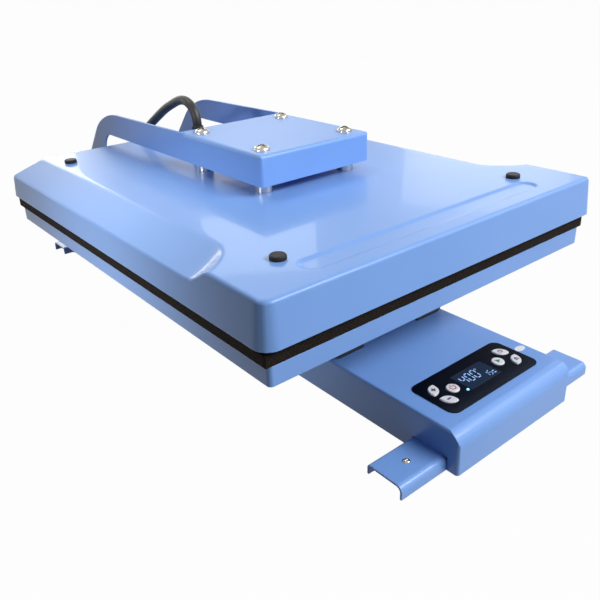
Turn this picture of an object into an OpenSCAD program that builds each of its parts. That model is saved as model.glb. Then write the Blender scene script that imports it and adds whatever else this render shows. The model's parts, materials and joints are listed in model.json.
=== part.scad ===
// Automatic clamshell heat press, closed. A heated head hangs from a folded steel arm that turns
// on a hinge behind the bed. A linear actuator under the bed pulls a slotted crank on the hinge
// shaft. All lengths are in millimetres. The origin is the middle of the footprint at bench level,
// +Y points to the hinge at the back and +Z up.

/* [Base] */
// Width of the base housing
base_w = 156; // [150:1:176]
// Distance from the back of the hinge towers to the back of the base
base_rear_margin = 16; // [12:1:40]
// Height of the base housing
base_h = 39; // [38:1:46]
// Thickness of the base sheet
base_sheet = 1.5; // [1.2:0.1:2]
// Outer radius of the fold at the front of the base
base_front_r = 14; // [8:1:18]
// Outer radius of the other folds of the base
base_edge_r = 3; // [2.5:0.5:6]

/* [Feet] */
// Length of each foot channel across the machine
foot_l = 261; // [220:1:320]
// Width of each foot channel
foot_w = 37; // [34:1:44]
// Height of each foot channel
foot_h = 12.4; // [10:0.1:15]
// Thickness of the foot channel sheet
foot_sheet = 2; // [1.5:0.1:2.5]
// Outer bend radius of the foot channel
foot_bend_r = 6; // [4:0.5:7]
// Bend radius of the foot channels on their inner side
foot_inner_bend_r = 3; // [2.5:0.5:6]
// How much shorter the inner flange of a foot channel is
foot_lip = 3; // [0:0.5:5]
// Distance from the end of the base to the middle of a foot channel
foot_inset = 29.5; // [26:0.5:50]
// Height of the rubber feet below the channels
foot_drop = 3; // [2:0.5:6]
// Diameter of a rubber foot where it meets the bench
foot_d = 20; // [16:1:24]
// Distance from the end of a channel to the middle of its rubber foot
foot_end = 25.5; // [18:0.5:34]

/* [Bed] */
// Width of the heat bed
bed_w = 400; // [380:1:420]
// Length of the heat bed
bed_l = 500; // [480:1:520]
// Height of the bed tray
tray_h = 17.4; // [15:0.1:22]
// Thickness of the tray sheet
tray_sheet = 2; // [1.5:0.1:2.5]
// Corner radius of the bed tray and pad
tray_r = 4; // [3:0.5:8]
// Thickness of the silicone sponge pad
pad_t = 10.9; // [8:0.1:14]
// Clear height between the base and the bed
bed_gap = 61.4; // [60:0.1:66]
// Distance from the front of the base to the front of the bed
bed_setback = 76; // [72:1:80]

/* [Head cover] */
// How far the cover reaches past the bed on each side
cover_side_over = 7.5; // [6:0.5:12]
// How far the cover reaches past the front of the bed
cover_front_over = 6.2; // [5:0.1:12]
// How far the cover reaches past the back of the bed
cover_rear_over = 1.1; // [1:0.1:6]
// Height of the cover
cover_h = 38.1; // [37:0.1:44]
// Thickness of the cover sheet
cover_sheet = 1.5; // [1.2:0.1:2]
// Corner radius of the cover seen from above
cover_corner_r = 14; // [12:0.5:20]
// Radius of the top edge of the cover
cover_edge_r = 7; // [4:0.5:8]
// How far the walls lean in from bottom to top
cover_draft = 3; // [1:0.5:4]
// Air gap between the pad and the cover with the press closed
cover_gap = 3.4; // [2:0.1:6]
// Width of a side recess
recess_w = 43.5; // [38:0.5:46]
// Depth of a side recess at the outer edge of the cover
recess_drop = 14.8; // [6:0.1:15.5]
// Distance from the front of the cover to the rounded end of a recess
recess_front = 74; // [66:1:120]
// Distance from the side of the cover to the end of the pressed groove
groove_side = 60.5; // [53:0.5:100]
// Width of the pressed groove
groove_w = 22; // [12:1:26]
// Distance from the front of the cover to the middle of the groove
groove_inset = 32.2; // [26:0.2:36]
// Depth of the pressed groove
groove_d = 1.4; // [0.5:0.1:2]

/* [Platen] */
// Gap between the cover wall and the edge of the platen
platen_edge_gap = 8; // [6:0.5:14]
// Thickness of the heating platen
platen_t = 12; // [11:0.5:13]
// Gap between platen and pad with the press closed
platen_gap = 0.3; // [0.2:0.05:0.6]
// Height of the cast bosses on the platen
boss_h = 8; // [7:0.5:10]
// Diameter of the tubular heating element
element_d = 8; // [6:0.5:9]
// Thickness of the insulation blanket
blanket_t = 7; // [4:0.5:8]

/* [Arm] */
// Width of the arm over its side flanges
arm_w = 142; // [138:1:150]
// Length of the arm's top plate
arm_plate_l = 149; // [144:1:160]
// Distance from the middle of the bed to the front of the arm
arm_reach = 74; // [70:1:80]
// Height of the arm's top above the cover
arm_rise = 41.3; // [38:0.1:46]
// Height of the arm's flanges
arm_flange_h = 30.9; // [28:0.1:33]
// Thickness of the arm sheet
arm_sheet = 3; // [2.5:0.1:4]
// Outer radius of the arm's front corners seen from above
arm_corner_r = 4; // [3:0.5:12]
// Outer radius of the fold round the arm's top plate
arm_fold_r = 4.5; // [3.5:0.5:6]
// Diameter of a hinge eye on the arm
eye_d = 49; // [40:1:52]
// Distance from the side of the arm to a head bolt
bolt_side = 16.7; // [15:0.1:21]
// Distance from the front of the arm to the front bolts
bolt_front = 19.7; // [18:0.1:26]
// Distance from the back of the arm's plate to the rear bolts
bolt_rear = 20.7; // [12:0.1:26]
// Diameter of a head bolt's head
bolt_head_d = 16.5; // [14:0.5:18]
// Diameter of a head bolt's shank
bolt_d = 8; // [6:0.5:8.5]
// Diameter of the spacers between cover and arm
spacer_d = 18; // [15:0.5:20]
// Distance from the side of the bed to a rubber plug
plug_side = 50; // [47:1:60]
// Distance from the front or back of the bed to a rubber plug
plug_end = 50; // [45:1:60]
// Diameter of a rubber plug
plug_d = 14; // [12:0.5:15]
// Height of a rubber plug
plug_h = 4; // [3.8:0.1:6]

/* [Hinge and drive] */
// Distance from the back of the bed to the hinge axis
hinge_back = 80; // [76:1:84]
// Height of the hinge axis above the bottom of the bed
hinge_rise = 12; // [8:0.5:14]
// Diameter of the hinge shaft
shaft_d = 16; // [12:0.5:18]
// Radial running clearance of shafts and rods
running_gap = 0.05; // [0.02:0.01:0.08]
// Thickness of the flange of a hinge bush, between tower and arm
bush_flange_t = 3.7; // [2.5:0.1:5]
// Distance from the hinge axis to the front of the towers
tower_front_run = 62; // [40:1:64]
// Distance from the hinge axis to the back of the towers
tower_rear_run = 46; // [36:1:50]
// Thickness of the hinge tower plate
tower_plate = 4; // [3:0.5:5]
// Largest opening angle of the head, in degrees
open_angle = 45; // [35:1:46]
// Thickness of the crank lever
crank_t = 10; // [8:0.5:11]
// Diameter of the pin in the rod's fork
pin_d = 10; // [8:0.5:11]
// Clearance of the pin on each side in the crank's slot
slot_gap = 0.7; // [0.6:0.05:0.8]
// Diameter of the actuator's motor
motor_d = 38; // [34:0.5:40]
// Gap between the actuator's motor and the base
motor_gap = 2.4; // [1:0.1:4]
// Length of the actuator's motor
motor_l = 104; // [90:1:110]
// Diameter of the actuator's tube
tube_d = 32; // [28:0.5:34]
// Length of the actuator's tube
tube_l = 128; // [122:1:130]
// Diameter of the actuator's rod
rod_d = 16; // [12:0.5:18]

/* [Controls] */
// Length of the control overlay across the base
overlay_l = 120; // [110:1:124]
// Width of the control overlay
overlay_w = 50; // [48:1:54]
// Thickness of the control overlay
overlay_t = 0.8; // [0.5:0.1:1.2]
// Corner radius of the control overlay
overlay_r = 8; // [3:0.5:9]
// Distance from the front of the base to the middle of the overlay
overlay_inset = 45.2; // [44:0.1:48]
// Distance from the side of the overlay to the display window
lcd_side = 39.5; // [39:0.5:43]
// Height of the display window
lcd_l = 24; // [20:0.5:26]
// Diameter of a round button
round_d = 12; // [10:0.5:12]
// Length of a leaf-shaped button
leaf_l = 16; // [12:0.5:16.5]
// Width of a leaf-shaped button
leaf_w = 9.5; // [7:0.5:9.5]
// Travel of a button
button_travel = 0.8; // [0.5:0.1:1]
// Height of the buttons above the overlay
button_rise = 1.2; // [1.1:0.1:1.6]

/* [Cable] */
// Diameter of the heater cable
cable_d = 10.5; // [9:0.5:11]
// Diameter of the boot where the cable leaves the head
boot_d = 13.5; // [13:0.5:14]

/* [Hidden] */

// Overrun of cuts, clearance round loose pieces, and steps in a rounded corner
over = 1;
fit_gap = 0.2;
hole_gap = 0.3;
arc_steps = 6;
fine_fn = 64;
hull_fn = 32;

// Fasteners and small pieces
screw_d = 5;
screw_head_d = 9;
screw_head_h = 2.6;
foot_screw_d = 3.5;
foot_screw_head_d = 6.2;
foot_screw_head_h = 1.9;
chassis_bolt_d = 8;
chassis_head_d = 13;
chassis_head_h = 5;
chassis_grip = 3;
bolt_head_h = 5.2;
bolt_bite = 4;
boss_wall = 8;
post_wall = 3.5;
cross_w_share = 0.16;
cross_l_share = 0.6;
cross_d_share = 0.45;

// Mains inlet and power switch on the back of the base
inlet_flange_t = 2;
inlet_w = 31;
inlet_h = 23;
inlet_wall = 1.8;
inlet_depth = 17;
inlet_flange_over = 3;
inlet_x = -34;
inlet_pin_w = 2;
inlet_pin_h = 4;
inlet_pin_l = 11;
inlet_pin_pitch = 14;
inlet_earth_rise = 4;
switch_x = 34;
switch_w = 15;
switch_h = 21;
switch_wall = 1.6;
switch_depth = 14;
rocker_angle = 10;
rocker_r = 8.4;
rocker_pivot_in = 3;
rocker_pin_d = 3;
rocker_back = 5;
rocker_sink = 1.5;

// Heights of the stack, from the bench up
base_z = foot_drop;
base_top = base_z + base_h;
base_roof = base_top - base_sheet;
foot_top = base_z + foot_h;
floor_top = base_z + base_sheet;
bed_z = base_top + bed_gap;
bed_top = bed_z + tray_h;
pad_top = bed_top + pad_t;
platen_z = pad_top + platen_gap;
platen_top = platen_z + platen_t;
boss_top = platen_top + boss_h;
cover_z = pad_top + cover_gap;
cover_top = cover_z + cover_h;
cover_roof = cover_top - cover_sheet;
arm_top = cover_top + arm_rise;
arm_z = arm_top - arm_flange_h;
arm_roof = arm_top - arm_sheet;
hinge_z = bed_z + hinge_rise;
drive_z = base_top + motor_gap + motor_d / 2;
crank_drop = hinge_z - drive_z;

// Places along the machine
base_l = bed_setback + bed_l + hinge_back + tower_rear_run + base_rear_margin;
base_front = -(base_l + inlet_flange_t) / 2;
base_rear = base_front + base_l;
front_foot_y = base_front + foot_inset;
rear_foot_y = base_rear - foot_inset;
bed_front = base_front + bed_setback;
bed_rear = bed_front + bed_l;
bed_mid = (bed_front + bed_rear) / 2;
cover_front = bed_front - cover_front_over;
cover_rear = bed_rear + cover_rear_over;
cover_mid = (cover_front + cover_rear) / 2;
cover_l = cover_rear - cover_front;
cover_w = bed_w + 2 * cover_side_over;
arm_front = bed_mid - arm_reach;
plate_rear = arm_front + arm_plate_l;
hinge_y = bed_rear + hinge_back;
bolt_x = arm_w / 2 - bolt_side;
bolt_ys = [arm_front + bolt_front, plate_rear - bolt_rear];
plug_x = bed_w / 2 - plug_side;
plug_ys = [bed_front + plug_end, bed_rear - plug_end];
recess_span = cover_w - 2 * recess_w;
groove_l = cover_w - 2 * groove_side;
overlay_y = base_front + overlay_inset;

// Drive, closed: the crank leans half the opening angle behind the vertical
crank_lean = open_angle / 2;
stroke = 2 * crank_drop * tan(crank_lean);
pin_y = hinge_y + stroke / 2;
crank_near = crank_drop - pin_d / 2 - slot_gap;
crank_far = crank_drop / cos(crank_lean) + pin_d / 2 + slot_gap;
crank_rim = 6.5;
crank_w = pin_d + 2 * slot_gap + 2 * crank_rim;
hub_d = 34;
hub_l = 24;
fork_gap = 0.5;
fork_cheek = 9;
fork_h = 22;
fork_nose = 12;
fork_root = 20;
fork_neck = 8;
fork_y = pin_y - fork_root - fork_neck;
rod_inside = 20;
tube_mouth = fork_y - stroke - rod_inside;
tube_start = tube_mouth - tube_l;
tube_wall = 4;
gear_l = 26;
gear_over = 8;
gear_w = motor_d + gear_over;
gear_h = motor_d;
gear_r = 4;
gear_recess = 9;
motor_cap_l = 6;
pin_head_d = 13;
pin_head_t = 3;
fork_neck_share = 0.85;
rod_in_share = 0.55;
motor_start = tube_start - motor_l;
clamp_l = 14;
clamp_wall = 6;
clamp_foot = 12;
clamp_foot_t = 5;
clamp_front_y = motor_start + motor_l / 4;
clamp_rear_y = tube_mouth - tube_l / 3;

// Hinge towers, bushes and shaft ends
bush_side_gap = 0.3;
tower_in = arm_w / 2 - arm_sheet - bush_side_gap - bush_flange_t - tower_plate;
tower_top_r = 22;
tower_foot_in = 24;
tower_back_lip = 16;
tower_bolt_inset = 16;
bush_wall = 2.5;
bush_flange = 5;
collar_d = 30;
collar_l = 9;
collar_gap = 0.1;
shaft_l = arm_w + 2 * (collar_l + collar_gap) + 2 * over;

// Bed pedestal rails and beams
rail_sheet = 3;
rail_gap = 1;
rail_margin = 4;
rail_inset = 70;
rail_bolt_inset = 28.8;
rail_in = motor_d / 2 + clamp_wall + clamp_foot + rail_gap;
rail_out = base_w / 2 - rail_margin;
rail_x = (rail_in + rail_out) / 2;
rail_l = bed_l - 2 * rail_inset;
rail_bolt_y = rail_l / 2 - rail_bolt_inset;
beam_w = 44;
beam_sheet = 2;
beam_gap = 8;

// Arm flange outline behind the top plate, as distances from the hinge axis
throat_y = 57;
throat_r = 24;
shoulder_y = 75;
shoulder_drop = 3.3;
shoulder_r = 100;
haunch_y = 38;
haunch_rise = 79;
haunch_r = 70;
weld_lap = 6;
tie_ahead = 27.5;
tie_rise = 29.6;
tie_y = hinge_y - tie_ahead;
tie_z = hinge_z + tie_rise;
tie_w = 16;
tie_wall = 2;
tie_tilt = 32.5;

// Panel: places of the buttons from the middle of the overlay
lcd_w = overlay_l - 2 * lcd_side;
round_side = 28.3;
round_x = overlay_l / 2 - round_side;
leaf_side = 13.2;
leaf_x = overlay_l / 2 - leaf_side;
leaf_y = 8.5;
led_gap = 2.9;
led_x = lcd_w / 2 + led_gap;
led_y = 9.6;
led_d = 2.4;
button_lip = 1;
button_lip_t = 1.2;
board_t = 1.6;
board_drop = 9;
board_margin = 3;
post_d = 5;
tact_w = 6;
tact_h_gap = 0.3;
tact_body_share = 0.6;
post_gap = 4.9;
post_x = lcd_w / 2 + post_gap;

// Electronics inside the base
supply_w = 62;
supply_l = 116;
supply_h = 20;
supply_board_t = 3.2;
supply_y_share = 0.1;
sink_share = 0.7;
fins = 7;
fin_pitch = 4;
capacitor_share = 0.16;
relay_w = 44;
relay_l = 60;
relay_h = 20;
relay_plate_t = 3;
relay_y_share = -0.12;

// Platen, blanket and what sits on them
platen_w = cover_w - 2 * cover_sheet - 2 * platen_edge_gap;
platen_l = cover_l - 2 * cover_sheet - 2 * platen_edge_gap;
platen_r = 6;
blanket_inset = 10;
sensor_d = 6;
sensor_rise = 6;
cutout_d = 18;
cutout_h = 6;
cutout_neck_share = 0.6;
cutout_back = 54.3;
element_outer_share = 0.30;
element_inner_share = 0.075;
element_reach_share = 0.36;
element_rise = 8;
element_bend_r = 8;
element_sides = 12;

// Cover recess: where its ramp begins, and the share of its width where the ramp stands upright
ramp_y = cover_front + recess_front + recess_w;
ramp_edge_share = 0.4;
groove_round_share = 0.99;

// Cable route from inside the cover to the gland on the cross tie, laid for the default sizes. Its
// two ends follow the cover and the tie when those move
gland_d = 18;
gland_flange_d = 22;
gland_flange_t = 3;
gland_h = 13;
gland_nut_share = 0.7;
gland_back = 24;
gland_y = plate_rear + gland_back;
tie_gland_x = -30;
tie_gland_l = 14;
boot_h = 26;
cable_x = -33;
cable_tail = 5.7;
cable_end_gap = 0.3;
cable_sides = 10;
cable_table = [[-33, 65, 166], [-33, 65, 186], [-33, 65, 200], [-33, 65, 212], [-33, 66, 221],
    [-33, 70, 229], [-33, 78, 235], [-32, 90, 237.5], [-32, 104, 236], [-31, 120, 230.5],
    [-31, 140, 222], [-30, 160, 212], [-30, 180, 200.6], [-30, 200, 188.6], [-30, 217, 177.8],
    [-30, 234, 167], [-30, 250, 156.8], [-30, 261.5, 149.5]];
cable_last = len(cable_table) - 1;
cable_fixed = 3;
cable_start_move = [cable_x, gland_y, cover_roof - cable_tail] - cable_table[0];
cable_end_move = [tie_gland_x, tie_y - (tie_w / 2 + cable_end_gap) * cos(tie_tilt),
    tie_z + (tie_w / 2 + cable_end_gap) * sin(tie_tilt)] - cable_table[cable_last];
cable_route = [for (i = [0:cable_last])
    let (share = min(1, max(0, (i - cable_fixed) / (cable_last - 2 * cable_fixed))))
    cable_table[i] + cable_start_move * (1 - share) + cable_end_move * share];

// Unit vector, and the turn from one direction to another between -180 and 180 degrees
function unit(v) = v / norm(v);
function turn(a, b) = let (d = b - a) d > 180 ? d - 360 : d < -180 ? d + 360 : d;

// Points of an arc about c with radius r, from angle a over the angle t
function arc(c, r, a, t, n = arc_steps) =
    [for (i = [0:n]) c + r * [cos(a + t * i / n), sin(a + t * i / n)]];

// Outline through corners [x, y, radius], each corner rounded to its own radius
function rounded(c) = [for (i = [0:len(c) - 1])
    let (n = len(c), p = [c[i].x, c[i].y], r = c[i].z,
        a = unit([c[(i + n - 1) % n].x, c[(i + n - 1) % n].y] - p),
        b = unit([c[(i + 1) % n].x, c[(i + 1) % n].y] - p),
        half = acos(a * b) / 2)
    each r <= 0 ? [p] :
        let (m = p + unit(a + b) * r / sin(half),
            s = p + a * r / tan(half) - m, e = p + b * r / tan(half) - m,
            s_a = atan2(s.y, s.x))
        arc(m, r, s_a, turn(s_a, atan2(e.y, e.x)))];

// Point where a line from p touches the circle about c, on the side +1 or -1
function touch(p, c, r, side) =
    let (d = norm(c - p), way = atan2(c.y - p.y, c.x - p.x) + side * asin(r / d))
    p + sqrt(d * d - r * r) * [cos(way), sin(way)];

// Points round the circle about c from p to q, anticlockwise
function round_over(c, p, q, n = 16) =
    let (a = atan2(p.y - c.y, p.x - c.x), b = atan2(q.y - c.y, q.x - c.x))
    arc(c, norm(p - c), a, b < a ? b - a + 360 : b - a, n);

function rect(w, y0, y1, r) =
    rounded([[-w / 2, y0, r], [w / 2, y0, r], [w / 2, y1, r], [-w / 2, y1, r]]);

// Extrusions of an outline: upwards, along Y from y0 to y1, and across the machine
module up(z0, z1) { translate([0, 0, z0]) linear_extrude(z1 - z0) children(); }
module along_y(y0, y1) {
    translate([0, y1, 0]) rotate([90, 0, 0]) linear_extrude(y1 - y0) children();
}
module across(x0, x1) {
    translate([x0, 0, 0]) rotate([90, 0, 90]) linear_extrude(x1 - x0) children();
}
module rod_z(z0, z1, d) { translate([0, 0, z0]) cylinder(h = z1 - z0, d = d, $fn = fine_fn); }
module rod_x(x0, x1, d) { rotate([0, 90, 0]) rod_z(x0, x1, d); }
module rod_y(y0, y1, d) { rotate([-90, 0, 0]) rod_z(y0, y1, d); }
module mirror_x() {
    children();
    mirror([1, 0, 0]) children();
}

// Box of folded sheet: plan corners, side folds, front fold and back fold each have a radius
module folded_box(w, y0, y1, z0, z1, plan_r, side_r, front_r, rear_r) {
    intersection() {
        up(z0, z1) polygon(rect(w, y0, y1, plan_r));
        along_y(y0, y1) polygon(rounded([[-w / 2, z0, 0], [w / 2, z0, 0],
            [w / 2, z1, side_r], [-w / 2, z1, side_r]]));
        across(-w / 2, w / 2) polygon(rounded([[y0, z0, 0], [y1, z0, 0],
            [y1, z1, rear_r], [y0, z1, front_r]]));
    }
}

// Dome-headed screw with a cross recess, head seated at height 0 and shank pointing down
module cross_screw(head_d, head_h, shank_d, shank_l) {
    difference() {
        rotate_extrude($fn = fine_fn) polygon(concat([[0, 0], [head_d / 2, 0]],
            [for (i = [1:arc_steps - 1]) [head_d / 2 * cos(90 * i / arc_steps),
                head_h * sin(90 * i / arc_steps)]], [[0, head_h]]));
        for (a = [0, 90]) rotate([0, 0, a])
            translate([-head_d * cross_l_share / 2, -head_d * cross_w_share / 2,
                    head_h * (1 - cross_d_share)])
                cube([head_d * cross_l_share, head_d * cross_w_share, head_h]);
    }
    rod_z(-shank_l, 0, shank_d);
}

// Hexagon-headed bolt, head seated at height 0 and shank pointing down
module hex_bolt(head_d, head_h, shank_d, shank_l) {
    cylinder(h = head_h, d = head_d, $fn = 6);
    rod_z(-shank_l, 0, shank_d);
}

// Leaf outline: two arcs that meet in a point at each end
module leaf(l, w, z0, z1) {
    r = (l * l + w * w) / (4 * w);
    intersection_for(side = [-1, 1])
        translate([0, side * (r - w / 2), 0]) rod_z(z0, z1, 2 * r);
}

// Tube along a route: one ring of points for each point. Where the route stands upright, its rings
// start from the direction given for its first or its second half
function way(route, i) = unit(route[min(i + 1, len(route) - 1)] - route[max(i - 1, 0)]);
function level(route, i, first, second) =
    let (c = cross([0, 0, 1], way(route, i)))
    norm(c) > 0.01 ? unit(c) : i < len(route) / 2 ? first : second;
function ring(route, i, r, sides, first, second) =
    let (w = way(route, i), a = unit(cross(w, level(route, i, first, second))), b = cross(a, w))
    [for (k = [0:sides - 1]) route[i] + r * (cos(360 * k / sides) * a + sin(360 * k / sides) * b)];
module tube(route, r, sides, first, second) {
    n = len(route);
    m = sides;
    polyhedron(
        points = [for (i = [0:n - 1]) each ring(route, i, r, m, first, second)],
        faces = concat([[for (k = [0:m - 1]) k]], [[for (k = [m - 1:-1:0]) (n - 1) * m + k]],
            [for (i = [0:n - 2], k = [0:m - 1]) each [
                [i * m + k, i * m + m + k, i * m + (k + 1) % m],
                [i * m + (k + 1) % m, i * m + m + k, i * m + m + (k + 1) % m]]]));
}

// Places that several pieces share
module at_feet() {
    for (x = [-1, 1], y = [front_foot_y, rear_foot_y])
        translate([x * (foot_l / 2 - foot_end), y, 0]) children();
}
module at_head_bolts() {
    for (x = [-1, 1], y = bolt_ys)
        translate([x * bolt_x, y, 0]) children();
}
module at_plugs() {
    for (x = [-1, 1], y = plug_ys)
        translate([x * plug_x, y, 0]) children();
}
module at_tower_bolts() {
    for (x = [-1, 1], y = [hinge_y - tower_front_run + tower_bolt_inset,
            hinge_y + tower_rear_run - tower_bolt_inset])
        translate([x * (tower_in - tower_foot_in / 2), y, 0]) children();
}
module at_clamp_bolts() {
    translate([0, clamp_front_y, 0])
        mirror_x() translate([motor_d / 2 + clamp_wall + clamp_foot / 2, 0, 0]) children();
    translate([0, clamp_rear_y, 0])
        mirror_x() translate([tube_d / 2 + clamp_wall + clamp_foot / 2, 0, 0]) children();
}
module at_rail_bolts() {
    for (x = [-1, 1], y = [-1, 1])
        translate([x * rail_x, bed_mid + y * rail_bolt_y, 0]) children();
}
module at_round_buttons(side) { translate([side * round_x, overlay_y, 0]) children(); }
module at_leaf_button(side, row) {
    translate([side * leaf_x, overlay_y + row * leaf_y, 0])
        rotate([0, 0, -side * row * 45]) children();
}
module hinge_line() { translate([0, hinge_y, hinge_z]) children(); }
module drive_line() { translate([0, 0, drive_z]) children(); }

// Cuts in the panel for the window, the light and the buttons
module panel_cuts(gap) {
    for (side = [-1, 1]) {
        at_round_buttons(side)
            rod_z(base_roof - over, base_top + overlay_t + over, round_d + 2 * gap);
        for (row = [-1, 1]) at_leaf_button(side, row)
            leaf(leaf_l + 4 * gap, leaf_w + 2 * gap, base_roof - over, base_top + overlay_t + over);
    }
    translate([-lcd_w / 2 - fit_gap / 2, overlay_y - lcd_l / 2 - fit_gap / 2, base_roof - over])
        cube([lcd_w + fit_gap, lcd_l + fit_gap, base_sheet + overlay_t + 2 * over]);
    translate([-led_x, overlay_y - led_y, 0])
        rod_z(base_roof - over, base_top + overlay_t + over, led_d + fit_gap);
}

module base_housing() {
    s = base_sheet;
    color([0.49, 0.66, 0.91]) difference() {
        folded_box(base_w, base_front, base_rear, base_z, base_top,
            base_edge_r, base_edge_r, base_front_r, base_edge_r);
        folded_box(base_w - 2 * s, base_front + s, base_rear - s, base_z - over, base_roof,
            base_edge_r - s, base_edge_r - s, base_front_r - s, base_edge_r - s);
        for (y = [front_foot_y, rear_foot_y])
            translate([-base_w, y - foot_w / 2 - fit_gap, base_z - over])
                cube([2 * base_w, foot_w + 2 * fit_gap, foot_h + over]);
        panel_cuts(hole_gap * 2);
        at_tower_bolts() rod_z(base_roof - over, base_top + over, chassis_bolt_d + hole_gap);
        at_clamp_bolts() rod_z(base_roof - over, base_top + over, screw_d + hole_gap);
        at_rail_bolts() rod_z(base_roof - over, base_top + over, chassis_bolt_d + hole_gap);
        translate([inlet_x, 0, inlet_z()]) inlet_plug(fit_gap, base_rear - s - over, base_rear + over);
        translate([switch_x, 0, inlet_z()]) switch_plug(fit_gap, base_rear - s - over, base_rear + over);
    }
}

// Middle height of the inlet and the switch, over the rear foot channel
function inlet_z() = (foot_top + base_roof) / 2;

module inlet_plug(gap, y0, y1) {
    w = inlet_w - 2 * inlet_flange_over + 2 * gap;
    h = inlet_h - 2 * inlet_flange_over + 2 * gap;
    along_y(y0, y1) polygon(rounded([[-w / 2, -h / 2, 0], [w / 2, -h / 2, 0],
        [w / 2, h / 2, inlet_flange_over], [-w / 2, h / 2, inlet_flange_over]]));
}

module switch_plug(gap, y0, y1) {
    w = switch_w - 2 * switch_wall + 2 * gap;
    h = switch_h - 2 * switch_wall + 2 * gap;
    translate([-w / 2, y0, -h / 2]) cube([w, y1 - y0, h]);
}

module base_floor_plate() {
    y0 = front_foot_y + foot_w / 2;
    y1 = rear_foot_y - foot_w / 2;
    w = base_w - 2 * base_sheet;
    color([0.36, 0.38, 0.42]) difference() {
        translate([-w / 2, y0, base_z]) cube([w, y1 - y0, foot_h - fit_gap]);
        translate([-w / 2 - over, y0 + base_sheet, floor_top])
            cube([w + 2 * over, y1 - y0 - 2 * base_sheet, foot_h]);
    }
}

// Outline of a foot channel in Y and Z, grown by a gap; its inner side is on the right
function foot_outline(gap, z0) = let (h = foot_w / 2 + gap) rounded([[-h, z0, 0], [h, z0, 0],
    [h, foot_top + gap, foot_inner_bend_r + gap], [-h, foot_top + gap, foot_bend_r + gap]]);

// Foot channel; the flange on its inner side is a little shorter
module foot_channel(inner) {
    s = foot_sheet;
    mirror([0, inner < 0 ? 1 : 0, 0]) difference() {
        across(-foot_l / 2, foot_l / 2) difference() {
            polygon(foot_outline(0, base_z));
            polygon(foot_outline(-s, base_z - over));
            translate([foot_w / 2 - s - over, base_z - over]) square([s + 2 * over, foot_lip + over]);
        }
        for (x = [-1, 1]) translate([x * (foot_l / 2 - foot_end), 0, 0])
            rod_z(foot_top - s - over, foot_top + over, foot_screw_d + hole_gap);
    }
}

module front_foot_channel() {
    color([0.49, 0.66, 0.91]) translate([0, front_foot_y, 0]) foot_channel(1);
}
module rear_foot_channel() {
    color([0.49, 0.66, 0.91]) translate([0, rear_foot_y, 0]) foot_channel(-1);
}

module rubber_feet() {
    top = foot_top - foot_sheet;
    color([0.13, 0.13, 0.14]) at_feet() difference() {
        cylinder(h = top, d1 = foot_d, d2 = foot_d + foot_drop, $fn = fine_fn);
        rod_z(foot_drop, top + over, foot_screw_d + fit_gap);
    }
}

module foot_screws() {
    color([0.80, 0.81, 0.83]) at_feet() translate([0, 0, foot_top])
        cross_screw(foot_screw_head_d, foot_screw_head_h, foot_screw_d, foot_h - foot_drop);
}

module control_overlay() {
    color([0.05, 0.06, 0.08]) difference() {
        translate([0, overlay_y, 0]) up(base_top, base_top + overlay_t)
            polygon(rect(overlay_l, -overlay_w / 2, overlay_w / 2, overlay_r));
        panel_cuts(hole_gap);
    }
}

module lcd_window() {
    color([0.07, 0.11, 0.20]) translate([-lcd_w / 2, overlay_y - lcd_l / 2, board_top()])
        cube([lcd_w, lcd_l, base_top + overlay_t - board_top()]);
}

module status_led() {
    color([0.35, 0.65, 1.0]) translate([-led_x, overlay_y - led_y, 0]) {
        rod_z(board_top(), base_top + overlay_t, led_d);
        translate([0, 0, base_top + overlay_t]) intersection() {
            sphere(d = led_d, $fn = hull_fn);
            rod_z(0, led_d, led_d);
        }
    }
}

function board_top() = base_roof - board_drop;

module control_board() {
    w = overlay_l - 2 * board_margin;
    l = overlay_w - 2 * board_margin;
    lip_z = base_roof - hole_gap - button_lip_t;
    tact_top = lip_z - button_travel - tact_h_gap;
    color([0.10, 0.36, 0.20]) {
        translate([-w / 2, overlay_y - l / 2, board_top() - board_t]) cube([w, l, board_t]);
        for (side = [-1, 1]) {
            at_round_buttons(side) tact_switch(tact_top);
            for (row = [-1, 1]) at_leaf_button(side, row) tact_switch(tact_top);
            for (row = [-1, 1]) translate([side * post_x, overlay_y + row * (l / 2 - post_d), 0])
                rod_z(board_top() - over / 2, base_roof, post_d);
        }
    }
}

module tact_switch(top) {
    base = board_top() + (top - board_top()) * tact_body_share;
    translate([-tact_w / 2, -tact_w / 2, board_top() - board_t / 2])
        cube([tact_w, tact_w, base - board_top() + board_t / 2]);
    rod_z(base - board_t / 2, top, tact_w / 2);
}

// A button cap with the lip that keeps it under the sheet
module round_button() {
    z = base_roof - hole_gap;
    top = base_top + overlay_t + button_rise;
    rod_z(z - button_lip_t / 2, top - button_rise / 2, round_d);
    translate([0, 0, top - button_rise / 2])
        cylinder(h = button_rise / 2, d1 = round_d, d2 = round_d - button_rise, $fn = fine_fn);
    rod_z(z - button_lip_t, z, round_d + 2 * button_lip + 2 * hole_gap);
}
module leaf_button() {
    z = base_roof - hole_gap;
    top = base_top + overlay_t + button_rise;
    leaf(leaf_l, leaf_w, z - button_lip_t / 2, top - button_rise / 2);
    leaf(leaf_l - button_rise, leaf_w - button_rise, top - button_rise, top);
    leaf(leaf_l, leaf_w + 2 * button_lip + 2 * hole_gap, z - button_lip_t, z);
}

module power_button() { color([0.86, 0.86, 0.88]) at_round_buttons(-1) round_button(); }
module start_button() { color([0.86, 0.86, 0.88]) at_round_buttons(1) round_button(); }
module plus_button() { color([0.86, 0.86, 0.88]) at_leaf_button(-1, 1) leaf_button(); }
module minus_button() { color([0.86, 0.86, 0.88]) at_leaf_button(-1, -1) leaf_button(); }
module timer_button() { color([0.86, 0.86, 0.88]) at_leaf_button(1, 1) leaf_button(); }
module open_button() { color([0.86, 0.86, 0.88]) at_leaf_button(1, -1) leaf_button(); }

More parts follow.
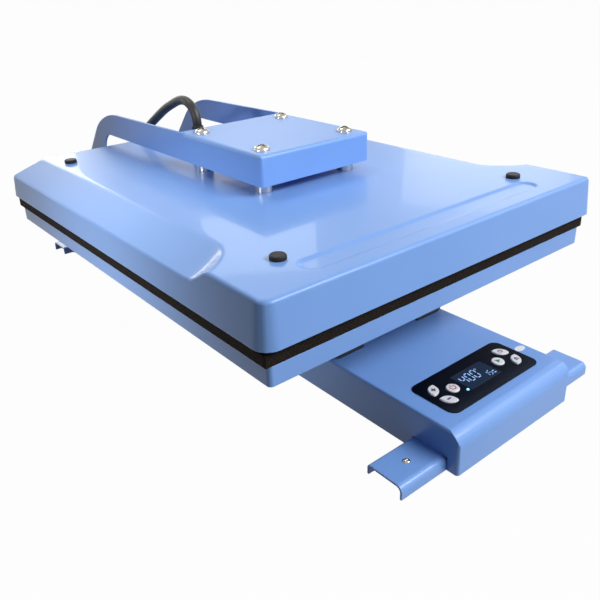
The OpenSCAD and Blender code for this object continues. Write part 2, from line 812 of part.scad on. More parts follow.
// Supply: board, transformer, heat sink with fins and a capacitor, on the floor plate
module power_supply() {
    color([0.75, 0.77, 0.78]) translate([-supply_w / 2, base_l * supply_y_share, floor_top]) {
        cube([supply_w, supply_l, supply_board_t]);
        translate([supply_w / 8, supply_l / 3, 0]) cube([supply_w / 2, supply_l / 4, supply_h]);
        for (i = [0:fins]) translate([0, supply_l * sink_share + i * fin_pitch, 0])
            cube([supply_w, board_t, supply_h]);
        translate([supply_w * sink_share, supply_l * capacitor_share, 0]) rod_z(0, supply_h, supply_w / 4);
    }
}

module heater_relay() {
    color([0.90, 0.90, 0.88]) translate([-relay_w / 2, base_l * relay_y_share, floor_top]) difference() {
        union() {
            cube([relay_w, relay_l, relay_plate_t]);
            translate([0, relay_l / 8, 0]) cube([relay_w, relay_l - relay_l / 4, relay_h]);
        }
        for (x = [relay_w / 4, relay_w - relay_w / 4], y = [relay_l / 4, relay_l - relay_l / 4])
            translate([x, y, 0]) rod_z(relay_h - relay_plate_t, relay_h + over, relay_w / 6);
    }
}

module power_inlet() {
    color([0.10, 0.10, 0.11]) translate([inlet_x, 0, inlet_z()]) difference() {
        union() {
            translate([-inlet_w / 2, base_rear, -inlet_h / 2]) cube([inlet_w, inlet_flange_t, inlet_h]);
            inlet_plug(0, base_rear - inlet_depth - inlet_wall, base_rear + inlet_flange_t / 2);
        }
        inlet_plug(-inlet_wall, base_rear + inlet_flange_t - inlet_depth, base_rear + inlet_flange_t + over);
        for (p = [[-1, 0], [1, 0], [0, 1]]) inlet_pin(p, inlet_wall);
    }
}

// One blade of the inlet at the place p, in half pitches and rises, sunk into the back wall by s
module inlet_pin(p, s) {
    y = base_rear + inlet_flange_t - inlet_depth - s;
    translate([p.x * inlet_pin_pitch / 2 - inlet_pin_w / 2, y,
            -inlet_pin_h / 2 + (p.y - 0.5) * inlet_earth_rise])
        cube([inlet_pin_w, inlet_pin_l + s, inlet_pin_h]);
}

module inlet_pins() {
    color([0.83, 0.83, 0.80]) translate([inlet_x, 0, inlet_z()])
        for (p = [[-1, 0], [1, 0], [0, 1]]) inlet_pin(p, inlet_wall);
}

module switch_frame() {
    h = switch_h - 2 * switch_wall;
    w = switch_w - 2 * switch_wall;
    color([0.10, 0.10, 0.11]) translate([switch_x, 0, inlet_z()]) difference() {
        union() {
            translate([-switch_w / 2, base_rear, -switch_h / 2])
                cube([switch_w, inlet_flange_t, switch_h]);
            switch_plug(0, base_rear - switch_depth, base_rear + inlet_flange_t / 2);
        }
        translate([-w / 2 + switch_wall, base_rear - switch_depth + switch_wall, -h / 2])
            cube([w - 2 * switch_wall, switch_depth + inlet_flange_t, h]);
        translate([0, rocker_y(), 0]) rod_x(-w, w, rocker_pin_d + 2 * running_gap);
    }
}

function rocker_y() = base_rear - rocker_pivot_in;

// The rocker's two halves meet in a shallow valley, and it rests on its lower half
module switch_rocker() {
    w = switch_w - 4 * switch_wall - 2 * hole_gap;
    face = rocker_pivot_in + inlet_flange_t - rocker_sink;
    color([0.75, 0.08, 0.08]) translate([switch_x, rocker_y(), inlet_z()]) {
        rotate([rocker_angle, 0, 0]) intersection() {
            rod_x(-w / 2, w / 2, 2 * rocker_r);
            across(-w / 2, w / 2) polygon([[-rocker_back, -rocker_r], [face, -rocker_r],
                [face - rocker_r * tan(rocker_angle), 0], [face, rocker_r], [-rocker_back, rocker_r]]);
        }
        rod_x(-switch_w / 2 + switch_wall, switch_w / 2 - switch_wall, rocker_pin_d);
    }
}

// Rail of C section: the open side faces the middle of the machine
module pedestal_rail(side) {
    s = rail_sheet;
    a = rail_in;
    b = rail_out;
    color([0.20, 0.21, 0.23]) difference() {
        along_y(bed_mid - rail_l / 2, bed_mid + rail_l / 2) mirror([side < 0 ? 1 : 0, 0]) difference() {
            polygon(rounded([[a, base_top, 0], [b, base_top, 2 * s], [b, bed_z, 2 * s], [a, bed_z, 0]]));
            polygon(rounded([[a - over, base_top + s, 0], [b - s, base_top + s, s],
                [b - s, bed_z - s, s], [a - over, bed_z - s, 0]]));
        }
        at_rail_bolts() rod_z(base_top - over, bed_z + over, chassis_bolt_d + hole_gap);
    }
}
module pedestal_rail_left() { pedestal_rail(-1); }
module pedestal_rail_right() { pedestal_rail(1); }

module pedestal_bolts() {
    grip = rail_sheet + base_sheet + chassis_grip;
    beam_grip = rail_sheet + beam_sheet + chassis_grip;
    color([0.62, 0.64, 0.66]) {
        at_rail_bolts() translate([0, 0, base_top + rail_sheet])
            hex_bolt(chassis_head_d, chassis_head_h, chassis_bolt_d, grip);
        at_rail_bolts() translate([0, 0, bed_z - rail_sheet]) mirror([0, 0, 1])
            hex_bolt(chassis_head_d, chassis_head_h, chassis_bolt_d, beam_grip);
    }
}

// Channels across the tray, open side up, bolted to the rails
module bed_beams() {
    l = bed_w - 2 * tray_sheet - 2 * beam_gap;
    top = bed_top - tray_sheet;
    color([0.30, 0.31, 0.33]) for (i = [-1, 0, 1]) difference() {
        translate([-l / 2, bed_mid + i * rail_bolt_y - beam_w / 2, bed_z])
            cube([l, beam_w, top - bed_z]);
        translate([-l / 2 - over, bed_mid + i * rail_bolt_y - beam_w / 2 + beam_sheet,
                bed_z + beam_sheet])
            cube([l + 2 * over, beam_w - 2 * beam_sheet, top]);
        if (i != 0) at_rail_bolts()
            rod_z(bed_z - over, bed_z + beam_sheet + over, chassis_bolt_d + hole_gap);
    }
}

module bed_tray() {
    s = tray_sheet;
    color([0.49, 0.66, 0.91]) difference() {
        up(bed_z, bed_top) polygon(rect(bed_w, bed_front, bed_rear, tray_r));
        up(bed_z - over, bed_top - s)
            polygon(rect(bed_w - 2 * s, bed_front + s, bed_rear - s, tray_r - s));
    }
}

module silicone_pad() {
    color([0.16, 0.14, 0.12]) up(bed_top, pad_top) polygon(rect(bed_w, bed_front, bed_rear, tray_r));
}

// Tower: side plate with a foot and a back lip turned in, and the bore for its bush
module hinge_tower(side) {
    a = hinge_y - tower_front_run;
    b = hinge_y + tower_rear_run;
    c = [hinge_y, hinge_z];
    fl = touch([a, base_top], c, tower_top_r, 1);
    fr = touch([b, base_top], c, tower_top_r, -1);
    color([0.49, 0.66, 0.91]) mirror([side < 0 ? 1 : 0, 0, 0]) difference() {
        union() {
            across(tower_in, tower_in + tower_plate)
                polygon(concat([[a, base_top], [b, base_top]], round_over(c, fr, fl)));
            translate([tower_in - tower_foot_in, a, base_top])
                cube([tower_foot_in + tower_plate / 2, b - a, tower_plate]);
            across(tower_in - tower_back_lip, tower_in + tower_plate / 2)
                polygon([[b, base_top], fr, fr - [tower_plate, 0], [b - tower_plate, base_top]]);
        }
        hinge_line() rod_x(tower_in - over, tower_in + tower_plate + over, shaft_d + 2 * bush_wall);
        at_tower_bolts() rod_z(base_top - over, base_top + tower_plate + over, chassis_bolt_d + hole_gap);
    }
}
module hinge_tower_left() { hinge_tower(-1); }
module hinge_tower_right() { hinge_tower(1); }

module tower_bolts() {
    color([0.62, 0.64, 0.66]) at_tower_bolts() translate([0, 0, base_top + tower_plate])
        hex_bolt(chassis_head_d, chassis_head_h, chassis_bolt_d, tower_plate + base_sheet + chassis_grip);
}

// Flanged bushes, each pressed into a tower plate with its flange towards the arm
module hinge_bushes() {
    color([0.72, 0.55, 0.30]) mirror_x() hinge_line() difference() {
        union() {
            rod_x(tower_in, tower_in + tower_plate, shaft_d + 2 * bush_wall);
            rod_x(tower_in + tower_plate, tower_in + tower_plate + bush_flange_t,
                shaft_d + 2 * bush_wall + 2 * bush_flange);
        }
        rod_x(tower_in - over, tower_in + tower_plate + bush_flange_t + over, shaft_d + 2 * running_gap);
    }
}

module hinge_shaft() {
    color([0.70, 0.71, 0.73]) hinge_line() rod_x(-shaft_l / 2, shaft_l / 2, shaft_d);
}

module shaft_collars() {
    a = arm_w / 2 + collar_gap;
    color([0.25, 0.26, 0.28]) mirror_x() hinge_line() difference() {
        rod_x(a, a + collar_l, collar_d);
        rod_x(a - over, a + collar_l + over, shaft_d);
        translate([a + collar_l / 2, 0, 0]) rod_z(0, collar_d, screw_d);
    }
}

// Crank: hub on the shaft and a plate with a straight slot along its length
module crank_lever() {
    color([0.55, 0.57, 0.60]) hinge_line() rotate([crank_lean, 0, 0]) difference() {
        union() {
            rod_x(-hub_l / 2, hub_l / 2, hub_d);
            translate([-crank_t / 2, -crank_w / 2, -crank_far + pin_d / 2 + slot_gap])
                cube([crank_t, crank_w, crank_far - pin_d / 2 - slot_gap]);
            translate([0, 0, -crank_far + pin_d / 2 + slot_gap]) rod_x(-crank_t / 2, crank_t / 2, crank_w);
        }
        rod_x(-hub_l, hub_l, shaft_d);
        for (z = [-crank_near - pin_d / 2 - slot_gap, -crank_far + pin_d / 2 + slot_gap])
            translate([0, 0, z]) rod_x(-crank_t, crank_t, pin_d + 2 * slot_gap);
        translate([-crank_t, -pin_d / 2 - slot_gap, -crank_far + pin_d / 2 + slot_gap])
            cube([2 * crank_t, pin_d + 2 * slot_gap, crank_far - crank_near - pin_d - 2 * slot_gap]);
    }
}

module actuator_motor() {
    color([0.15, 0.15, 0.17]) drive_line() {
        rod_y(motor_start, tube_start - gear_l + over, motor_d);
        difference() {
            along_y(tube_start - gear_l, tube_start) polygon(rect(gear_w, -gear_h / 2, gear_h / 2, gear_r));
            rod_y(tube_start - gear_recess, tube_start + over, tube_d);
        }
        rod_y(motor_start - motor_cap_l, motor_start + over, motor_d / 2);
    }
}

module actuator_tube() {
    color([0.70, 0.71, 0.73]) drive_line() difference() {
        rod_y(tube_start - gear_recess, tube_mouth, tube_d);
        rod_y(tube_start, tube_mouth - 2 * tube_wall, tube_d - 2 * tube_wall);
        rod_y(tube_start, tube_mouth + over, rod_d + 2 * running_gap);
    }
}

module actuator_clamp(y, d) {
    w = d / 2 + clamp_wall;
    f = base_top - drive_z;
    drive_line() difference() {
        union() {
            rod_y(y - clamp_l / 2, y + clamp_l / 2, 2 * w);
            translate([-w, y - clamp_l / 2, f]) cube([2 * w, clamp_l, -f]);
            translate([-w - clamp_foot, y - clamp_l / 2, f])
                cube([2 * (w + clamp_foot), clamp_l, clamp_foot_t]);
        }
        rod_y(y - clamp_l, y + clamp_l, d);
        translate([-2 * w, y - clamp_l, f - w]) cube([4 * w, 2 * clamp_l, w]);
        for (x = [-1, 1]) translate([x * (w + clamp_foot / 2), y, 0])
            rod_z(f - over, f + clamp_foot_t + over, screw_d + hole_gap);
    }
}

module actuator_clamps() {
    color([0.25, 0.26, 0.28]) {
        actuator_clamp(clamp_front_y, motor_d);
        actuator_clamp(clamp_rear_y, tube_d);
    }
}

module clamp_bolts() {
    color([0.62, 0.64, 0.66]) at_clamp_bolts() translate([0, 0, base_top + clamp_foot_t])
        hex_bolt(screw_head_d, screw_head_h, screw_d, clamp_foot_t + base_sheet + chassis_grip);
}

module actuator_rod() {
    color([0.82, 0.83, 0.85]) drive_line() rod_y(tube_mouth - tube_l * rod_in_share,
        fork_y + fork_neck, rod_d);
}

module rod_fork() {
    w = crank_t + 2 * fork_gap + 2 * fork_cheek;
    color([0.45, 0.47, 0.50]) drive_line() difference() {
        union() {
            translate([-w / 2, pin_y - fork_root, -fork_h / 2]) cube([w, fork_root, fork_h]);
            translate([0, pin_y, 0]) rod_x(-w / 2, w / 2, fork_h);
            rod_y(fork_y, pin_y - fork_root + over, w * fork_neck_share);
        }
        translate([-crank_t / 2 - fork_gap, pin_y - fork_root + over / 2, -fork_h])
            cube([crank_t + 2 * fork_gap, 2 * fork_h, 2 * fork_h]);
        translate([0, pin_y, 0]) rod_x(-w, w, pin_d);
        rod_y(fork_y - over, fork_y + fork_neck, rod_d);
    }
}

module fork_pin() {
    w = crank_t + 2 * fork_gap + 2 * fork_cheek;
    color([0.82, 0.83, 0.85]) drive_line() translate([0, pin_y, 0]) {
        rod_x(-w / 2 - over, w / 2 + over, pin_d);
        rod_x(-w / 2 - pin_head_t, -w / 2, pin_head_d);
    }
}

// Outline of a side flange behind the plate, in Y and Z, with the hinge eye at its end
function flange_outline() =
    let (c = [hinge_y, hinge_z],
        throat = [hinge_y - throat_y, arm_z],
        haunch = [hinge_y - haunch_y, hinge_z + haunch_rise],
        low = touch(throat, c, eye_d / 2, -1),
        high = touch(haunch, c, eye_d / 2, 1))
    rounded(concat([[plate_rear - weld_lap, arm_z, 0], [throat.x, throat.y, throat_r]],
        [for (p = round_over(c, low, high)) [p.x, p.y, 0]],
        [[haunch.x, haunch.y, haunch_r], [hinge_y - shoulder_y, arm_top - shoulder_drop, shoulder_r],
            [plate_rear - weld_lap, arm_top, 0]]));

module head_arm() {
    s = arm_sheet;
    color([0.49, 0.66, 0.91]) difference() {
        union() {
            difference() {
                folded_box(arm_w, arm_front, plate_rear + 2 * arm_corner_r, arm_z, arm_top,
                    arm_corner_r, arm_fold_r, arm_fold_r, 0);
                folded_box(arm_w - 2 * s, arm_front + s, plate_rear + 2 * arm_corner_r + over,
                    arm_z - over, arm_roof, arm_corner_r - s, arm_fold_r - s, arm_fold_r - s, 0);
                translate([-arm_w, plate_rear, arm_z - over])
                    cube([2 * arm_w, 3 * arm_corner_r, 2 * arm_flange_h]);
            }
            mirror_x() across(arm_w / 2 - s, arm_w / 2) polygon(flange_outline());
        }
        hinge_line() rod_x(-arm_w, arm_w, shaft_d);
        at_head_bolts() rod_z(arm_roof - over, arm_top + over, bolt_d + hole_gap);
    }
}

module arm_cross_tie() {
    a = arm_w / 2 - arm_sheet;
    color([0.49, 0.66, 0.91]) translate([0, tie_y, tie_z]) rotate([-tie_tilt, 0, 0]) difference() {
        translate([-a, -tie_w / 2, -tie_w / 2]) cube([2 * a, tie_w, tie_w]);
        translate([-a - over, -tie_w / 2 + tie_wall, -tie_w / 2 + tie_wall])
            cube([2 * a + 2 * over, tie_w - 2 * tie_wall, tie_w - 2 * tie_wall]);
    }
}

module head_bolts() {
    color([0.86, 0.86, 0.84]) at_head_bolts() translate([0, 0, arm_top])
        cross_screw(bolt_head_d, bolt_head_h, bolt_d, arm_top - platen_top + bolt_bite);
}

module head_spacers() {
    color([0.78, 0.78, 0.78]) at_head_bolts() difference() {
        rod_z(cover_top, arm_roof, spacer_d);
        rod_z(cover_top - over, arm_roof + over, bolt_d + hole_gap);
    }
}

module inner_spacers() {
    color([0.66, 0.67, 0.69]) at_head_bolts() difference() {
        rod_z(boss_top, cover_roof, spacer_d);
        rod_z(boss_top - over, cover_roof + over, bolt_d + hole_gap);
    }
}

// Solid form of the cover, drawn in by the sheet thickness for its inside
module cover_form(inset, z0) {
    r = cover_corner_r - inset;
    z1 = cover_top - inset;
    e = cover_edge_r - inset;
    side = concat([[0, z0], [r, z0], [r, cover_z]],
        arc([r - cover_draft - e, z1 - e], e, 0, 90, 5), [[0, z1]]);
    hull() for (x = [-1, 1], y = [-1, 1])
        translate([x * (cover_w / 2 - cover_corner_r), cover_mid + y * (cover_l / 2 - cover_corner_r), 0])
            rotate_extrude($fn = hull_fn) polygon(side);
}

// One side recess: a floor that slopes outwards, ending in a rounded ramp near the front
module cover_recess(inset) {
    edge = cover_w / 2;
    x0 = recess_span / 2 - inset;
    z1 = cover_top - inset;
    top = z1 + inset + over;
    fall = recess_drop / recess_w;
    hull() {
        along_y(ramp_y, cover_rear + over)
            polygon([[x0, z1], [edge + over, z1 - fall * (edge + over - x0)],
                [edge + over, top], [x0, top]]);
        translate([edge, ramp_y - recess_w * ramp_edge_share, z1 - fall * (edge - x0)])
            cube([over, recess_w * ramp_edge_share, recess_drop]);
        up(z1, top) polygon(concat(arc([edge, ramp_y], edge - x0, 180, 90, 8),
            [[edge + over, ramp_y - edge + x0], [edge + over, ramp_y]]));
    }
}

module cover_groove(inset) {
    r = groove_w / 2 + inset;
    translate([0, cover_front + groove_inset, 0]) up(cover_top - inset - groove_d, cover_top + over)
        polygon(rect(groove_l + 2 * inset, -r, r, r * groove_round_share));
}

module head_cover() {
    color([0.55, 0.72, 0.95]) difference() {
        cover_form(0, cover_z);
        mirror_x() cover_recess(0);
        cover_groove(0);
        difference() {
            cover_form(cover_sheet, cover_z - over);
            mirror_x() cover_recess(cover_sheet);
            cover_groove(cover_sheet);
        }
        at_head_bolts() rod_z(cover_roof - over, cover_top + over, bolt_d + hole_gap);
        at_plugs() rod_z(cover_roof - over, cover_top + over, screw_d + hole_gap);
        translate([cable_x, gland_y, 0])
            rod_z(cover_roof - over, cover_top + over, gland_d - gland_flange_t);
    }
}

// Rubber plug: a shallow dome that caps a screw head
module cover_plugs() {
    color([0.12, 0.12, 0.12]) at_plugs() translate([0, 0, cover_top]) difference() {
        rotate_extrude($fn = fine_fn) polygon(concat([[0, 0], [plug_d / 2, 0]],
            arc([plug_d / 2 - plug_h / 3, plug_h * 2 / 3], plug_h / 3, 0, 90, 4), [[0, plug_h]]));
        rod_z(-over, screw_head_h + fit_gap, screw_head_d + fit_gap);
    }
}

module cover_screws() {
    color([0.62, 0.64, 0.66]) at_plugs() translate([0, 0, cover_top])
        cross_screw(screw_head_d, screw_head_h, screw_d, cover_top - platen_top + bolt_bite);
}

module cover_posts() {
    color([0.66, 0.67, 0.69]) at_plugs() difference() {
        rod_z(boss_top, cover_roof, screw_d + 2 * post_wall);
        rod_z(boss_top - over, cover_roof + over, screw_d + hole_gap);
    }
}

module insulation_blanket() {
    gap = hole_gap;
    color([0.88, 0.87, 0.82]) difference() {
        up(platen_top, platen_top + blanket_t) polygon(rect(platen_w - 2 * blanket_inset,
            cover_mid - platen_l / 2 + blanket_inset, cover_mid + platen_l / 2 - blanket_inset, platen_r));
        at_head_bolts() rod_z(platen_top - over, boss_top + over, bolt_d + 2 * boss_wall + 2 * gap);
        at_plugs() rod_z(platen_top - over, boss_top + over, screw_d + 2 * post_wall + 2 * gap);
        at_element_ends() hull() for (y = [-element_bend_r, 0]) translate([0, y, 0])
            rod_z(platen_top - over, boss_top + over, element_d + 2 * gap);
        translate([0, bed_mid, 0]) rod_z(platen_top - over, boss_top + over, sensor_d + 2 * gap);
        at_cutout() rod_z(platen_top - over, boss_top + over, cutout_d + 2 * gap);
    }
}

module at_element_ends() {
    mirror_x() translate([platen_w * element_outer_share, bed_mid + platen_l * element_reach_share, 0])
        children();
}
module at_cutout() { translate([0, bolt_ys[1] + cutout_back, 0]) children(); }

// Plan of the groove that holds the element: its centre line drawn out by h on both sides
function groove_line(h) =
    let (outer = platen_w * element_outer_share, inner = platen_w * element_inner_share,
        reach = platen_l * element_reach_share, loop = (outer - inner) / 2)
    concat([[outer + h, reach + element_d]],
        arc([inner + loop, -reach], loop + h, 0, -180, 12),
        arc([0, reach - inner], inner - h, 0, 180, 12),
        arc([-inner - loop, -reach], loop + h, 0, -180, 12),
        [[-outer - h, reach + element_d]]);
function groove_outline(h) = let (a = groove_line(h), b = groove_line(-h))
    concat(a, [for (i = [len(b) - 1:-1:0]) b[i]]);

// Centre line of the element: two long loops joined near the back, with both ends turned up
function element_bend(x, a, t) = [for (p = arc([0, 0], element_bend_r, a, t, 4))
    [x, platen_l * element_reach_share - element_bend_r + p.x, element_bend_r + p.y]];
function element_line() =
    let (outer = platen_w * element_outer_share, reach = platen_l * element_reach_share,
        top = boss_top + element_rise - platen_top + element_d / 2)
    concat([[outer, reach, top]], element_bend(outer, 0, -90),
        [for (p = groove_line(0)) if (p.y <= reach) [p.x, p.y, 0]],
        element_bend(-outer, -90, 90), [[-outer, reach, top]]);

module heating_element() {
    color([0.42, 0.40, 0.38]) translate([0, bed_mid, platen_top - element_d / 2])
        tube(element_line(), element_d / 2, element_sides, [1, 0, 0], [-1, 0, 0]);
}

module heating_platen() {
    color([0.25, 0.25, 0.26]) difference() {
        union() {
            up(platen_z, platen_top) polygon(rect(platen_w, cover_mid - platen_l / 2,
                cover_mid + platen_l / 2, platen_r));
            at_head_bolts() rod_z(platen_top - over, boss_top, bolt_d + 2 * boss_wall);
            at_plugs() rod_z(platen_top - over, boss_top, screw_d + 2 * post_wall);
        }
        at_head_bolts() rod_z(platen_top - bolt_bite - over, boss_top + over, bolt_d);
        at_plugs() rod_z(platen_top - bolt_bite - over, boss_top + over, screw_d);
        translate([0, bed_mid, 0]) up(platen_top - element_d, platen_top + over)
            polygon(groove_outline((element_d + fit_gap) / 2));
        translate([0, bed_mid, 0]) rod_z(platen_top - platen_t / 2, platen_top + over, sensor_d + fit_gap);
    }
}

module temperature_sensor() {
    color([0.80, 0.81, 0.83]) translate([0, bed_mid, 0])
        rod_z(platen_top - platen_t / 2, boss_top + sensor_rise, sensor_d);
}

module thermal_cutout() {
    color([0.30, 0.28, 0.26]) at_cutout() {
        rod_z(platen_top, platen_top + cutout_h, cutout_d);
        rod_z(platen_top + cutout_h, boss_top + cutout_h, cutout_d * cutout_neck_share);
    }
}

// Gland with a flange, a hexagonal body and a domed nut, standing on height 0
module gland(h) {
    difference() {
        union() {
            rod_z(0, gland_flange_t, gland_flange_d);
            cylinder(h = h * gland_nut_share, d = gland_d, $fn = 6);
            translate([0, 0, h * gland_nut_share])
                cylinder(h = h * (1 - gland_nut_share), d1 = gland_d - over, d2 = boot_d, $fn = fine_fn);
        }
        rod_z(-over, h + over, cable_d + fit_gap);
    }
}

module at_tie_gland() {
    translate([tie_gland_x, tie_y, tie_z]) rotate([90 - tie_tilt, 0, 0])
        translate([0, 0, tie_w / 2]) children();
}

module cable_glands() {
    color([0.12, 0.12, 0.13]) {
        translate([cable_x, gland_y, cover_top]) gland(gland_h);
        at_tie_gland() gland(tie_gland_l);
    }
}

module cable_boot() {
    z = cover_top + gland_h;
    color([0.10, 0.10, 0.10]) translate([cable_x, gland_y, 0]) difference() {
        rod_z(z, z + boot_h, boot_d);
        rod_z(z - over, z + boot_h + over, cable_d + fit_gap);
    }
}

module heater_cable() {
    color([0.08, 0.08, 0.08])
        tube(cable_route, cable_d / 2, cable_sides, [-1, 0, 0], [-1, 0, 0]);
}

base_housing();
base_floor_plate();
front_foot_channel();
rear_foot_channel();
rubber_feet();
foot_screws();
control_overlay();
lcd_window();
status_led();
control_board();
power_button();
start_button();
plus_button();
minus_button();
timer_button();
open_button();
power_supply();
heater_relay();
power_inlet();
inlet_pins();
switch_frame();
switch_rocker();
pedestal_rail_left();
pedestal_rail_right();
pedestal_bolts();
bed_beams();
bed_tray();
silicone_pad();
hinge_tower_left();
hinge_tower_right();
tower_bolts();
hinge_bushes();
hinge_shaft();
shaft_collars();
crank_lever();
actuator_motor();
actuator_tube();
actuator_clamps();
clamp_bolts();
actuator_rod();
rod_fork();
fork_pin();
head_arm();
arm_cross_tie();
head_bolts();
head_spacers();
inner_spacers();
head_cover();
cover_plugs();
cover_screws();
cover_posts();
insulation_blanket();
heating_platen();
heating_element();
temperature_sensor();
thermal_cutout();
cable_glands();
cable_boot();
heater_cable();
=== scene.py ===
"""Looks of an automatic clamshell heat press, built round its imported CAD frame.

Every piece that shows is finished here: the folded and painted steel, the pressed head cover with
its two side recesses, the sponge pad, the heater cable, the fasteners, and the panel with its
display and marks. Lengths are in millimetres where nothing else is said; the scene is in metres.
"""

import json
import logging
import math
from dataclasses import dataclass
from enum import Enum
from typing import Dict, Iterable, List, Optional, Sequence, Tuple

import bmesh
import bpy
from mathutils import Matrix, Vector, noise


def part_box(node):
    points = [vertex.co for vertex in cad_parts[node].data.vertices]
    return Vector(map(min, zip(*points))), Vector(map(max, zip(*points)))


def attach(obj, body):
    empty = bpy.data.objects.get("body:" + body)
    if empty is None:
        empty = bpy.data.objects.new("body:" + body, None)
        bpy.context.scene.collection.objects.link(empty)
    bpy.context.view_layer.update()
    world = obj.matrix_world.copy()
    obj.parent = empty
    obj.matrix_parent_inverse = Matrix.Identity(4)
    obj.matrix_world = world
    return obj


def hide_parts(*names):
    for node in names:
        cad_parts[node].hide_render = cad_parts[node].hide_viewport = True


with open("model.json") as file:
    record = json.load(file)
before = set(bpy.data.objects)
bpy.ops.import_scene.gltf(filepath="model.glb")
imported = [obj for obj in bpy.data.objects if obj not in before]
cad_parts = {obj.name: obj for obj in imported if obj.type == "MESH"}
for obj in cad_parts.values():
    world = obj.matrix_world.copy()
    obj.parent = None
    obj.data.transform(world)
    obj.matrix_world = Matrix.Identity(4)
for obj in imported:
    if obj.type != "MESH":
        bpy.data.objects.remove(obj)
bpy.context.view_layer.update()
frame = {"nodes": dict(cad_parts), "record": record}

logging.basicConfig(level=logging.INFO, format="%(name)s: %(message)s")
log = logging.getLogger("heat_press")

MM = 0.001
Pair = Tuple[float, float]
Point = Tuple[float, float, float]
Colour = Tuple[float, float, float, float]
Socket = bpy.types.NodeSocket
WHITE: Colour = (1.0, 1.0, 1.0, 1.0)

# Darker patches of a finish, in repeats per metre
PATCH_SCALE = 9.0
# Seams of a CAD mesh: points nearer than this are merged, in millimetres, and edges that turn by
# fewer degrees than this are dissolved
MERGE = 0.004
FLAT = 0.6
# How strongly large faces draw the shading of the edges beside them
FACE_WEIGHT = 60


def srgb(code: str) -> Colour:
    """Turn a hex colour into the linear colour that shaders use.

    Args:
        code: Six hex digits, with or without a leading hash.

    Returns:
        Linear red, green, blue and an alpha of 1.
    """
    code = code.lstrip("#")
    parts = [int(code[i : i + 2], 16) / 255 for i in (0, 2, 4)]
    return tuple(
        c / 12.92 if c <= 0.04045 else ((c + 0.055) / 1.055) ** 2.4 for c in parts
    ) + (1.0,)


def smoothstep(low: float, high: float, value: float) -> float:
    """Ease from 0 at low to 1 at high.

    Args:
        low: Value where the step begins.
        high: Value where the step ends.
        value: Value to ease.

    Returns:
        A number from 0 to 1.
    """
    t = min(1.0, max(0.0, (value - low) / (high - low)))
    return t * t * (3 - 2 * t)


def smooth_max(a: float, b: float, width: float) -> float:
    """Return the larger of two lengths, rounded over where they meet.

    Args:
        a: First length.
        b: Second length.
        width: Half the width of the rounding.

    Returns:
        The rounded maximum.
    """
    return (a + b + math.sqrt((a - b) ** 2 + width**2)) / 2


class Grain(Enum):
    """How the surface of a finish is textured."""

    PEEL = "the soft orange peel of baked paint"
    BRUSHED = "lines left by a belt or a lathe"
    CAST = "sand-cast or moulded grain"
    CELLS = "cut open cells of sponge rubber"
    FIBRES = "matted fibres"


@dataclass(frozen=True)
class Finish:
    """One material of the object: what it is, its colour and how it is textured.

    Attributes:
        slot: Material slot of the record.
        colour: Main colour, as hex sRGB.
        shade: Colour of its darker patches, as hex sRGB; for cut cells, the painted shade inside them.
        roughness: Lowest and highest roughness.
        grain: Kind of texture.
        grain_mm: Size of the grain.
        relief_mm: Depth of the grain.
        metallic: 1 for bare metal.
        coat: Weight of a clear gloss coat.
        coat_roughness: Roughness of that coat.
        glow: Strength of the light it gives off.
        sheen: Weight of a dusty sheen.
        specular: Level of its own reflections; 0.5 is that of common plastics and paints.
    """

    slot: str
    colour: str
    shade: str
    roughness: Pair
    grain: Grain
    grain_mm: float
    relief_mm: float
    metallic: float = 0.0
    coat: float = 0.0
    coat_roughness: float = 0.1
    glow: float = 0.0
    sheen: float = 0.0
    specular: float = 0.5


